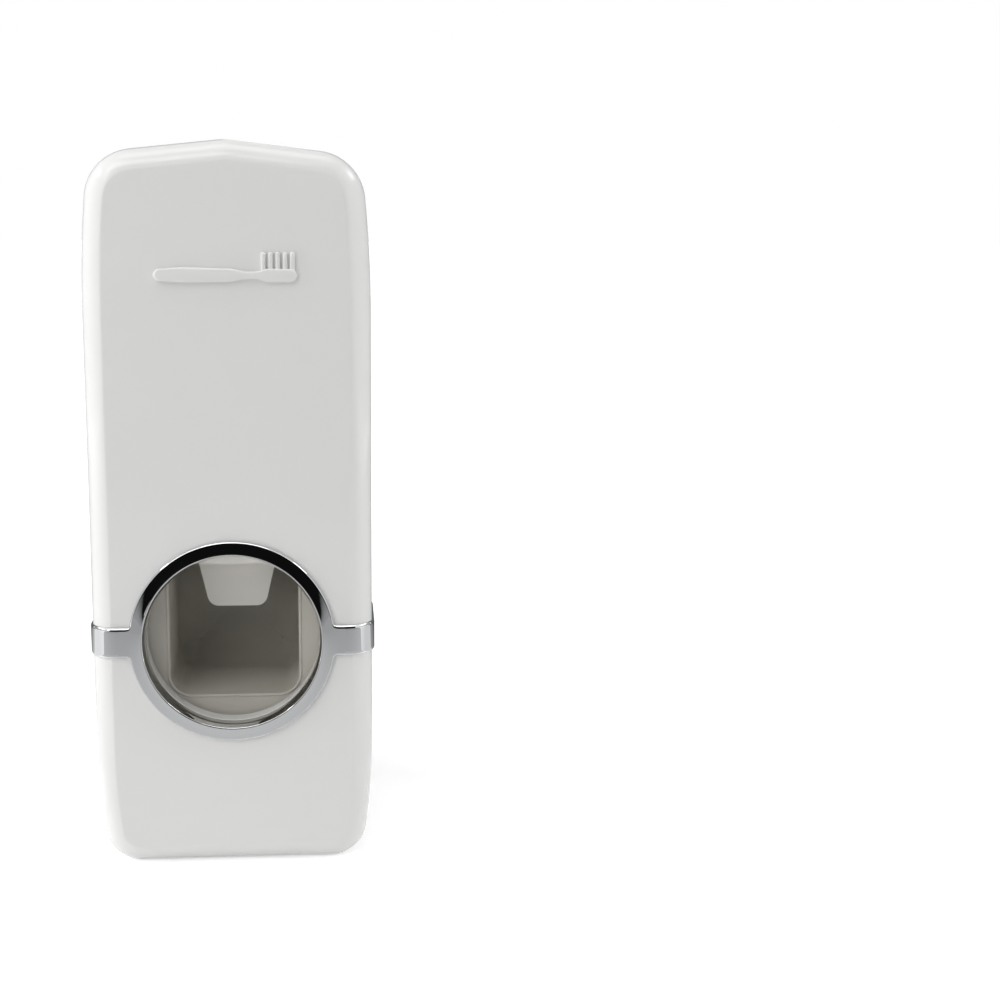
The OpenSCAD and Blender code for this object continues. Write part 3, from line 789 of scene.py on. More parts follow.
class Assembly:
    """A group of pieces on one CAD body."""

    body: BodyName = BodyName.HOUSING

    def place(self, piece: bpy.types.Object, finish: Finish, *nodes: str) -> bpy.types.Object:
        """Finishes a piece, puts it on its body and hides the CAD nodes that it stands for.

        Args:
            piece: The piece.
            finish: Its finish.
            nodes: Names of the CAD nodes.

        Returns:
            The piece.
        """
        finish.apply(piece)
        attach(piece, self.body.value)
        if nodes:
            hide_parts(*nodes)
        LOG.info("%s rides on %s, faces %d", piece.name, self.body.value,
                 len(piece.data.polygons))
        return piece


@dataclass
class KeptForms(Assembly):
    """Pieces that keep their CAD form: merged copies of its meshes with rounded edges.

    Attributes:
        rows: Each node's name, its finish and the width of its rounding in millimetres.
        segments: Rows of faces round each edge.
        flat: Angle up to which faces are one face, in degrees.
        smooth: Angle up to which faces are shaded as one surface.
        sharp: Angle from which an edge is rounded.
    """

    rows: FormRows = ()
    segments: int = 2
    flat: float = 0.5
    smooth: float = 30.0
    sharp: float = 40.0

    def build(self, frame: dict) -> None:
        """Dresses the pieces.

        Args:
            frame: The loaded frame.
        """
        for node, finish, edge in self.rows:
            mesh = frame["nodes"][node].data.copy()
            mesh.name = node + "_form"
            shape = bmesh.new()
            shape.from_mesh(mesh)
            bmesh.ops.remove_doubles(shape, verts=shape.verts, dist=WELD)
            bmesh.ops.dissolve_limit(shape, angle_limit=math.radians(self.flat),
                                     verts=shape.verts, edges=shape.edges)
            bmesh.ops.triangulate(shape, faces=[f for f in shape.faces if len(f.verts) > 4])
            shape.to_mesh(mesh)
            shape.free()
            piece = finished_object(node + "_form", mesh, self.smooth)
            bevel = piece.modifiers.new("edges", "BEVEL")
            bevel.width = edge * MM
            bevel.segments = self.segments
            bevel.limit_method = "ANGLE"
            bevel.angle_limit = math.radians(self.sharp)
            bevel.harden_normals = True
            self.place(piece, finish, node)


@dataclass
class FrontCover(Assembly):
    """The white cover: one closed shell with the mouth's tunnel, and the studs' bosses.

    Attributes:
        line: Width of the fine flat line along the face's edge.
        flat: Width of the flat strip that the line is part of.
        lead: Size of the chamfer at the tunnel's end.
    """

    body = BodyName.COVER
    tunnel_radius: float = 19.3
    tunnel_wall: float = 1.9
    tunnel_end: float = 54.9
    collar_radius: float = 20.45
    collar_floor: float = 59.2
    line: float = 0.06
    flat: float = 0.5
    lead: float = 0.4
    stud_x: float = 25.0
    boss_radius: float = 2.2
    boss_hole: float = 1.3
    boss_back: float = 58.6
    boss_sunk: float = 0.2

    def loops(self) -> list[FloatArray]:
        """Makes the shell's loops: rim, side, edge, face, mouth, tunnel and the inside.

        Returns:
            The loops, of which the last joins the first.
        """
        face, inner, split, side = BODY.front, BODY.front - BODY.wall, BODY.split, BODY.rim_inset
        rim, middle = BODY.rim, BODY.rim * ROUND_MIDDLE
        rows = [(side + BODY.wall, split), (side + rim, split), (side + middle, split + middle),
                (side, split + rim)]
        rows += [(side * (1 - part), split + (face - BODY.edge - split) * part)
                 for part in (0.25, 0.5, 0.75)]
        rows += [(way, face - fall) for way, fall in zip(*BODY.edge_at(np.linspace(0, 1, 17)))]
        loops = outline_loops([*rows, (BODY.edge + self.line, face),
                               (BODY.edge + self.flat, face)])
        edge, hole = loops[-1], mouth_loops([(self.collar_radius + rim, face)])[0]
        loops += [edge + (hole - edge) * part for part in np.linspace(0, 1, 11)[1:]]
        lip, end = self.tunnel_radius, self.tunnel_end
        outer = lip + self.tunnel_wall
        loops += mouth_loops([(self.collar_radius, face - rim),
                              (self.collar_radius, self.collar_floor),
                              (lip + rim, self.collar_floor), (lip, self.collar_floor - rim),
                              (lip, end + self.lead), (lip + self.lead, end), (outer, end),
                              (outer, inner)])
        loops.append((loops[-1] + outline_loops([(BODY.edge, inner)])[0]) / 2)
        return loops + outline_loops([(BODY.wall + way, inner - fall) for way, fall
                                      in (BODY.edge - BODY.wall) * quarter(4)[::-1]])

    def build(self) -> None:
        """Makes the cover as one piece."""
        shells = Shells()
        shells.loft(np.array(self.loops()), ring=True)
        front = BODY.front - BODY.wall + self.boss_sunk
        section = [(self.boss_hole, self.boss_back), (self.boss_radius, self.boss_back),
                   (self.boss_radius, front), (self.boss_hole, front)]
        for x in (-self.stud_x, self.stud_x):
            shells.lathe(section, (x, BODY.mouth), sides=40, ring=True)
        self.place(shells.build("cover_shell"), Finish.WHITE, "front_cover")


@dataclass
class Pictogram(Assembly):
    """A plain raised toothbrush on the face, in the place of the maker's words.

    Attributes:
        widths: Half widths of the brush at places along it.
        tuft: Width, height and corner radius of a tuft of bristles.
        tuft_first: Place of the first tuft along the brush.
        seat: How far the shapes are sunk into the face.
    """

    body = BodyName.COVER
    height: float = 133.4
    relief: float = 1.1
    edge: float = 0.45
    seat: float = 0.05
    widths: Profile = ((-15.2, 1.35), (-9.0, 1.65), (0.5, 1.5), (4.6, 0.85), (6.6, 0.85),
                       (8.8, 1.5), (15.2, 1.45))
    tufts: int = 5
    tuft: tuple[float, float, float] = (1.1, 4.6, 0.5)
    tuft_first: float = 8.0
    tuft_step: float = 1.55
    tuft_edge: float = 0.4
    tuft_relief: float = 0.9

    def brush(self) -> Contour:
        """Makes the brush's outline.

        Between two places its half width changes as s^2 (3 - 2 s), s from 0 to 1. Its ends are
        half circles.

        Returns:
            The outline.
        """
        knots = np.array(self.widths)
        blunt = knots[[0, -1], 1]
        x = np.linspace(knots[0, 0] + blunt[0], knots[-1, 0] - blunt[1], 49)
        share = np.interp(x, knots[:, 0], np.arange(len(knots)))
        low = np.clip(share.astype(int), 0, len(knots) - 2)
        blend = (share - low)**2 * (3 - 2 * (share - low))
        half = knots[low, 1] + (knots[low + 1, 1] - knots[low, 1]) * blend
        slope = np.gradient(half, x)
        slope[[0, -1]] = 0.0
        side = np.stack([-slope, np.ones_like(slope)], axis=-1)
        side /= np.linalg.norm(side, axis=1)[:, None]
        upper = np.stack([x, half], axis=-1)
        far, near = arc(90, -90, 12)[1:-1], arc(270, 90, 12)[1:-1]
        points, normals = joined([
            (upper, side), ([x[-1], 0] + half[-1] * far, far),
            (upper[::-1] * BELOW, side[::-1] * BELOW), ([x[0], 0] + half[0] * near, near)])
        return Contour(points[::-1] + [0.0, self.height], normals[::-1])

    def build(self) -> None:
        """Makes the raised shapes as one piece."""
        shells = Shells()
        back = BODY.front - self.seat
        shells.slab(self.brush(), back, BODY.front + self.relief, self.edge)
        width, tall, radius = self.tuft
        for index in range(self.tufts):
            centre = (self.tuft_first + self.tuft_step * index,
                      self.height + tall / 2 + self.tuft_edge)
            shells.slab(Contour.rounded(width, tall, radius, centre, steps=6), back,
                        BODY.front + self.tuft_relief, self.tuft_edge)
        self.place(shells.build("raised_pictogram"), Finish.WHITE)


@dataclass
class ChromeTrim(Assembly):
    """The plated ring with its lip and collar, and the two arms that turn round the edges.

    The ring falls outwards from its lip. Its slope is given at a few radii and summed to a
    height; the arms lie flat at the height where the slope ends.

    Attributes:
        edge_start: How far inside the ring's outer radius the arms' wider edge starts.
        edge_share: Largest part of the arm's thickness that its edge takes.
        ring_flow: How far past the ring's outer radius its own loops reach.
        lip_turn: Slope at which the lip's round starts, and lip_end that at which it ends.
        side_lean: Lean of the cover's side under the arm, in degrees.
        beyond: A depth below the front that is past the back of the arm.
        rebate: Insets and rises of the step under the outer edge.
        throat: Radii and heights of the inner side, from the lip to the collar's back.
        stud: Radii and depths of a stud.
        slopes: Radii and slopes of the front, in degrees.
    """

    body = BodyName.COVER
    outer: float = 22.8
    arm_half: float = 3.5
    fillet: float = 0.6
    edge: float = 0.72
    edge_start: float = 0.4
    edge_share: float = 0.9
    ring_edge: float = 0.5
    ring_flow: float = 1.2
    lip_radius: float = 0.35
    lip_centre: float = 20.05
    lip_top: float = 1.6
    lip_turn: float = 20.0
    lip_end: float = -78.0
    bend_x: float = 25.0
    bend_radius: float = 6.6
    side_proud: float = 0.6
    side_lean: float = 0.6
    arm_length: float = 22.0
    arm_corner: float = 1.6
    beyond: float = 99.0
    collar_back: float = -2.6
    collar_outer: float = 20.3
    collar_edge: float = 0.1
    seat: float = 0.02
    rebate: Profile = ((0.3, 0.0), (0.3, 0.2), (0.0, 0.26))
    throat: Profile = ((19.6, 1.0), (19.42, 0.45), (19.27, -0.1), (19.22, -1.0), (19.2, -2.3),
                       (19.3, -2.6))
    stud_x: float = 25.0
    stud: Profile = ((0.0, 56.6), (1.1, 56.6), (1.2, 56.8), (1.2, 62.3), (0.0, 62.3))
    slopes: Profile = ((20.17, 20.0), (20.6, 14.0), (21.3, 9.0), (22.2, 6.5), (22.9, 3.0),
                       (23.6, 0.0), (32.0, 0.0))

    def height_at(self, radius: FloatArray | float) -> FloatArray:
        """Finds the height of the front over the face, as the sum of its slopes' tangents.

        Args:
            radius: Distances from the mouth's centre.

        Returns:
            The heights.
        """
        radii, angles = np.array(self.slopes).T
        fine = np.linspace(radii[0], radii[-1], 600)
        drop = np.tan(np.radians(np.interp(fine, radii, angles))) * (fine[1] - fine[0])
        start = self.lip_top - self.lip_radius * (1 - math.cos(math.radians(self.lip_turn)))
        return np.interp(radius, fine, start - np.cumsum(drop))

    def outline(self) -> Contour:
        """Makes the trim's outline in the flat part, centred on the mouth.

        A quarter runs up the seam with the bent arm, in along the arm, round a hollow corner
        and over the ring. Its mirror images make up the rest. An inset narrows the seam, so its
        points move less the nearer they are to the arm's middle.

        Returns:
            The outline.
        """
        rise = self.arm_half + self.fillet
        join = math.sqrt((self.outer + self.fillet)**2 - rise**2)
        turn = math.degrees(math.atan2(rise, join))
        steps = np.linspace(0, 1, 7)
        seam = straight(self.bend_x, self.arm_half * steps, (0.0, 1.0))
        hollow = arc(270, 180 + turn, 6)
        ring = arc(turn, 90, 44)[1:]
        part = joined([
            (seam[0], seam[1] * steps[:, None]),
            straight(np.linspace(self.bend_x, join, 10)[1:-1], self.arm_half, (0.0, 1.0)),
            ([join, rise] + self.fillet * hollow, -hollow), (self.outer * ring, ring)])
        return Contour(*(mirrored(mirrored(row, LEFT, closed=False), BELOW) for row in part))

    def flat_part(self) -> FloatArray:
        """Makes the loops of the ring and the flat part of the arms.

        They run out under the trim, round its edge, in over the front, round the lip and back
        through the throat.

        Returns:
            The loops, of which the last joins the first.
        """
        outline = self.outline()
        past = np.abs(outline.points[:, :1]) - self.outer + self.edge_start
        edge = self.ring_edge + (self.edge - self.ring_edge) * np.clip(past, 0, 1)
        inner_edge = outline.inset(edge)
        distance = np.linalg.norm(inner_edge, axis=1)
        aim = inner_edge / distance[:, None]
        top, base = self.height_at(distance), self.back_height(outline.points[:, 0])
        rows = [(self.collar_outer * aim, self.seat)]
        rows += [(outline.inset(cut), base + rise) for cut, rise in self.rebate]
        rows += [(outline.inset(edge * way), top - edge[:, 0] * fall)
                 for way, fall in quarter(7)]
        lip_edge, ring_out = self.slopes[0][0], np.minimum(distance, self.outer + self.ring_flow)
        radii = [ring_out + (distance - ring_out) * part for part in np.linspace(1, 0, 6)[1:-1]]
        radii += [lip_edge + (ring_out - lip_edge) * part for part in np.linspace(1, 0, 11)]
        rows += [(radius[:, None] * aim, self.height_at(radius)) for radius in radii]
        rows += [((self.lip_centre + self.lip_radius * math.sin(turn)) * aim,
                  self.lip_top - self.lip_radius * (1 - math.cos(turn)))
                 for turn in np.radians(np.linspace(self.lip_turn, self.lip_end, 12))[1:]]
        rows += [(radius * aim, height) for radius, height in (
            *self.throat, (self.collar_outer - self.collar_edge, self.collar_back),
            (self.collar_outer, self.collar_back + self.collar_edge))]
        return np.array([at_depth(points + [0.0, BODY.mouth], heights + BODY.front)
                         for points, heights in rows])

    def back_height(self, x: FloatArray) -> FloatArray:
        """Returns the height of the cover's own surface under the arm, over the face."""
        insets, falls = BODY.edge_at(np.linspace(0, 1, 60))
        return self.seat - np.interp(BODY.half_width - np.abs(x), insets, falls)

    def strap(self, side: int) -> FloatArray:
        """Finds the loops of one bent arm, from the flat part to its end.

        Its front bends along a quarter circle while its back follows the cover's edge, and both
        then run straight to a rounded end.

        Args:
            side: 1 for the right arm, -1 for the left one.

        Returns:
            The loops.
        """
        bend_depth = BODY.front + self.height_at(self.bend_x) - self.bend_radius
        flat_end, round_way = BODY.half_width - BODY.edge, BODY.edge * math.pi / 2
        flat_way = flat_end - self.bend_x
        part = np.linspace(0, 1, 25)
        way = (flat_way + round_way) * part
        inset, fall = BODY.edge_at(1 - np.maximum(0.0, way - flat_way) / round_way)
        bend = [self.bend_x + self.bend_radius * np.sin(part * math.pi / 2),
                bend_depth + self.bend_radius * np.cos(part * math.pi / 2),
                np.minimum(self.bend_x + way, flat_end) + BODY.edge - inset,
                BODY.front - fall + self.seat, np.ones_like(part)]
        back, side_start = BODY.front - self.arm_length, BODY.front - BODY.edge
        end = 1 - self.arm_corner / (bend_depth - back) * arc(0, 90, 8)[:, 0]
        part = np.concatenate([[0.3, 0.6, 0.8], end])
        depth = bend_depth + (back - bend_depth) * part
        lean = math.tan(math.radians(self.side_lean)) * (side_start - back) * part
        near = np.maximum(0.0, self.arm_corner - (depth - back))
        cut = self.arm_corner - np.sqrt(np.maximum(self.arm_corner**2 - near**2, 0.0))
        ones = np.ones_like(part)
        run = [(BODY.half_width + self.side_proud) * ones, depth,
               BODY.half_width + self.seat - lean / 2,
               side_start + (back - side_start) * part, 1 - cut / self.arm_half]
        path = np.concatenate([bend, run], axis=1).T
        front, under, narrow = path[:, None, :2], path[:, None, 2:4], path[:, 4:]
        cross = self.cross_section()
        thick = np.linalg.norm(front - under, axis=-1)
        shrink = np.minimum(1.0, self.edge_share * thick / self.edge)
        below = np.minimum(cross[:, 1] * shrink, thick)
        place = under + (front - under) * (1 - below / thick)[..., None]
        return np.stack([side * place[..., 0], place[..., 1],
                         cross[:, 0] * narrow + BODY.mouth], axis=-1)

    def cross_section(self) -> FloatArray:
        """Makes the arm's cross-section: its back, its rounded edges and its flat front.

        Returns:
            Points (z, depth below the front).
        """
        steps = np.linspace(0, 1, 7)
        ways, falls = self.edge * quarter(7).T
        side = np.stack([self.arm_half - ways, falls], axis=-1)
        across = straight((self.arm_half - self.edge) * steps[-2::-1], 0.0, (0.0, 0.0))[0]
        back = straight(self.arm_half * steps, self.beyond, (0.0, 0.0))[0]
        return mirrored(np.concatenate([back, side, across]), LEFT)

    def is_seam(self, points: FloatArray, face: Sequence[int]) -> bool:
        """Tells whether a face lies in the seam between the flat part and a bent arm."""
        return bool(np.all(np.abs(np.abs(points[list(face), 0]) - self.bend_x) < SAME))

    def build(self) -> None:
        """Makes the trim and its studs as one piece."""
        shells = Shells()
        shells.loft(self.flat_part(), ring=True)
        shells.faces = [f for f in shells.faces if not self.is_seam(shells.points[0], f)]
        for side in (-1, 1):
            shells.loft(self.strap(side), open_start=True)
        for x in (-self.stud_x, self.stud_x):
            shells.lathe(self.stud, (x, BODY.mouth), sides=32)
        self.place(shells.build("trim_plated", smooth=38.0), Finish.CHROME, "chrome_trim")


@dataclass
class Clips(KeptForms):
    """The push-on clips behind the trim's studs."""

    body = BodyName.COVER
    rows: FormRows = (("trim_clips", Finish.STEEL, 0.1),)


@dataclass
class RearHousing(Assembly):
    """The shell on the wall: one bowl with a tongue, its ribs and its screw bosses.

    Attributes:
        lead: Chamfer on the tongue's outer side, and tongue_edge that on its inner side.
        tongue_foot: Depth of the tongue's root behind the joint.
        hollow: Size of the rounding inside, and hollow_step how far its middle stands in.
        sunk: How far ribs and bosses are sunk into the back.
        rib_step: How much lower the cross ribs are than the long ones.
        flare: Width and height of the foot of a boss.
    """

    tongue_inset: float = 3.003
    tongue: float = 1.3
    tongue_length: float = 4.0
    tongue_edge: float = 0.2
    tongue_foot: float = 3.0
    lead: float = 0.3
    groove: float = 1.0
    hollow: float = 1.0
    hollow_step: float = 0.3
    sunk: float = 0.1
    rib_width: float = 1.2
    rib_height: float = 2.2
    rib_step: float = 0.06
    long_ribs: Pair = (-21.5, 21.5)
    long_span: Pair = (14.0, 146.0)
    cross_ribs: tuple[float, ...] = (22.0, 112.0, 132.0)
    cross_half: float = 25.0
    boss_x: float = 12.0
    boss_heights: Pair = (91.5, 45.5)
    boss_radius: float = 3.4
    boss_front: float = 7.0
    flare: Pair = (0.3, 0.6)
    hole: float = 1.1

    def bowl(self) -> FloatArray:
        """Makes the loops of the bowl: back, side, rim, tongue and the inside.

        Returns:
            The loops.
        """
        floor, split, rim, side = BODY.back + BODY.wall, BODY.split, BODY.rim, BODY.rim_inset
        middle, inside, tongue = rim * ROUND_MIDDLE, side + BODY.wall, self.tongue_inset
        rows = [(BODY.back_inset + way, BODY.back + fall)
                for way, fall in BODY.rear * quarter(7)[::-1]]
        rows += [(side, split - rim), (side + middle, split - middle), (side + rim, split),
                 (inside, split), (inside, split - self.groove), (tongue, split - self.groove)]
        top, foot = split + self.tongue_length, split - self.tongue_foot
        inner = tongue + self.tongue
        rows += [(tongue, top - self.lead), (tongue + self.lead, top),
                 (inner - self.tongue_edge, top), (inner, top - self.tongue_edge),
                 (inner, foot), (inside, foot)]
        inset = BODY.back_inset + BODY.wall
        rows += [(inset, floor + self.hollow), (inset + self.hollow_step, floor + self.hollow_step),
                 (inset + self.hollow, floor)]
        return np.array(outline_loops(rows))

    def build(self) -> None:
        """Makes the housing as one piece."""
        shells = Shells()
        shells.loft(self.bowl())
        floor = BODY.back + BODY.wall
        back, top = floor - self.sunk, floor + self.rib_height
        for x in self.long_ribs:
            shells.box((x - self.rib_width / 2, back, self.long_span[0]),
                       (x + self.rib_width / 2, top, self.long_span[1]))
        for z in self.cross_ribs:
            shells.box((-self.cross_half, back, z),
                       (self.cross_half, top - self.rib_step, z + self.rib_width))
        section = [(self.hole, back), (self.boss_radius + self.flare[0], back),
                   (self.boss_radius, floor + self.flare[1]),
                   (self.boss_radius, self.boss_front), (self.hole, self.boss_front)]
        for x in (-self.boss_x, self.boss_x):
            for z in self.boss_heights:
                shells.lathe(section, (x, z), sides=48, ring=True)
        self.place(shells.build("housing_shell"), Finish.WHITE, "rear_housing")


@dataclass
class Interior(KeptForms):
    """The pieces inside that stay with the housing."""

    # The inside pieces' grey finish is painted shade of the deep chamber.
    rows: FormRows = (
        ("brush_chamber", Finish.INNER, 0.6), ("core_frame", Finish.INNER, 0.25),
        ("tube_seat", Finish.INNER, 0.3), ("pump_body", Finish.RESIN, 0.25),
        ("pump_end_cap", Finish.RESIN, 0.2), ("pump_front_cap", Finish.RESIN, 0.3),
        ("grommet_collar", Finish.RESIN, 0.2), ("tube_grommet", Finish.SILICONE, 0.2),
        ("inlet_valve", Finish.SILICONE, 0.1), ("end_cap_seal", Finish.SILICONE, 0.1),
        ("frame_screws", Finish.ZINC, 0.15), ("pump_screws", Finish.ZINC, 0.15),
        ("cap_screws", Finish.ZINC, 0.15), ("adhesive_pad", Finish.FOAM, 0.25))


@dataclass
class ChamberMouldings(Assembly):
    """The chamber's round inner corner, and the thin bead round its opening.

    Both run down one side, round the lower corners and up the other side. The inner corner is a
    hollow quarter arc between the back wall and the sides.

    Attributes:
        back: Depth of the back wall's front.
        sunk: How far the inner corner is sunk into the walls.
        flange: Depth of the flange's front.
        bead: Radius of the bead.
        bead_middle: Its middle, as (way in from the wall, depth from the flange's front).
    """

    half_width: float = 14.6
    floor: float = 37.8
    corner: float = 4.8
    back: float = 21.6
    top: float = 69.5
    radius: float = 11.5
    sunk: float = 0.4
    flange: float = 54.6
    bead: float = 0.4
    bead_middle: Pair = (-0.25, -0.15)

    def moulding(self, name: str, section: FloatArray, depth: float) -> None:
        """Carries a section along the wall and makes a piece of it.

        Args:
            name: Name of the piece.
            section: Points (way in from the wall, depth).
            depth: Depth of the section's origin.
        """
        low, side = self.floor + self.corner, self.half_width - self.corner
        points, normals = joined([
            ([[self.half_width, self.top]], [[1.0, 0.0]]),
            round_corner((side, low), self.corner, 0, -90, steps=10),
            round_corner((-side, low), self.corner, -90, -180, steps=10),
            ([[-self.half_width, self.top]], [[-1.0, 0.0]])])
        place = points[:, None] - section[:, :1] * normals[:, None]
        shells = Shells()
        shells.loft(at_depth(place, depth + section[:, 1]))
        # Their grey finish is painted shade of the deep chamber.
        self.place(shells.build(name), Finish.INNER)

    def build(self) -> None:
        """Makes both pieces."""
        hollow = self.radius * (1 + arc(180, 270, 12))
        behind = [[self.radius, -self.sunk], [-self.sunk, -self.sunk], [-self.sunk, self.radius]]
        self.moulding("chamber_fillet", np.concatenate([hollow, behind]), self.back)
        bead = self.bead * arc(360, 0, 12)[:-1] + self.bead_middle
        self.moulding("chamber_rim", bead, self.flange)


@dataclass
class ReturnSpring(Assembly):
    """The coil between the pump's rear plug and the piston, a round wire along a helix.

    Attributes:
        wire: Radius of the wire.
        start: Depth of the coil's rear end, and end that of its front end.
        solid_share: Its length at the end of the push, as a part of that at rest; not used.
        steps: Stretches along the wire, and sides those round it.
    """

    radius: float = 3.4
    wire: float = 0.3
    start: float = 9.32
    end: float = 23.88
    turns: float = 5.0
    solid_share: float = 0.2442
    steps: int = 200
    sides: int = 12

    def build(self) -> None:
        """Makes the coil."""
        t = np.linspace(0, 1, self.steps + 1)[:, None]
        around = np.linspace(0, 2 * np.pi, self.sides, endpoint=False)
        turn = 2 * np.pi * self.turns * t
        radius = self.radius + self.wire * np.cos(around)
        middle = self.start + self.wire + (self.end - self.start - 2 * self.wire) * t
        wire = np.stack([np.cos(turn) * radius, BODY.pump + np.sin(turn) * radius], axis=-1)
        shells = Shells()
        shells.loft(at_depth(wire, middle + self.wire * np.sin(around)))
        coil = self.place(shells.build("return_coil", smooth=50.0), Finish.STEEL,
                          "return_spring")
        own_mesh(coil)


@dataclass
class Slider(KeptForms):
    """The pieces that move with the paddle."""

    body = BodyName.SLIDER
    # The paddle's cream finish is partly painted light.
    rows: FormRows = (
        ("push_paddle", Finish.CREAM, 0.4), ("piston", Finish.RESIN, 0.2),
        ("piston_seal", Finish.SILICONE, 0.1), ("piston_rod", Finish.STEEL, 0.15),
        ("outlet_valve", Finish.SILICONE, 0.1), ("valve_ring", Finish.RESIN, 0.15))


# The studio, in metres and watts


@dataclass(frozen=True)
class Lamp:
    """A soft rectangular lamp."""

    name: str
    place: Place
    aim: Place
    size: Pair
    power: float

    def build(self) -> None:
        """Adds the lamp to the scene."""
        data = bpy.data.lights.new(self.name, "AREA")
        data.shape = "RECTANGLE"
        data.size, data.size_y = self.size
        data.energy = self.power
        lamp = bpy.data.objects.new(self.name, data)
        lamp.location = self.place
        aim = Vector(self.aim) - Vector(self.place)
        lamp.rotation_mode = "QUATERNION"
        lamp.rotation_quaternion = aim.to_track_quat("-Z", "Y")
        bpy.context.scene.collection.objects.link(lamp)


@dataclass(frozen=True)
class Shade:
    """The grey of a card, which changes along Y.

    Attributes:
        name: Name of the material.
        near: Grey up to the start.
        far: Grey past the end.
        start: Y at which it starts to change.
        end: Y at which the change ends.
    """

    name: str
    near: float
    far: float
    start: float = 0.0
    end: float = 1.0

    def material(self) -> bpy.types.Material:
        """Makes a material that gives light of this grey.

        Returns:
            The material.
        """
        made, graph = new_material(self.name)
        along = graph.add("SeparateXYZ", Vector=graph.place()).outputs["Y"]
        level = graph.ramp(along, self.start, self.end, self.near, self.far)
        shader = graph.add("Emission", Color=(1, 1, 1, 1), Strength=level)
        graph.add("OutputMaterial", Surface=shader.outputs[0])
        return made


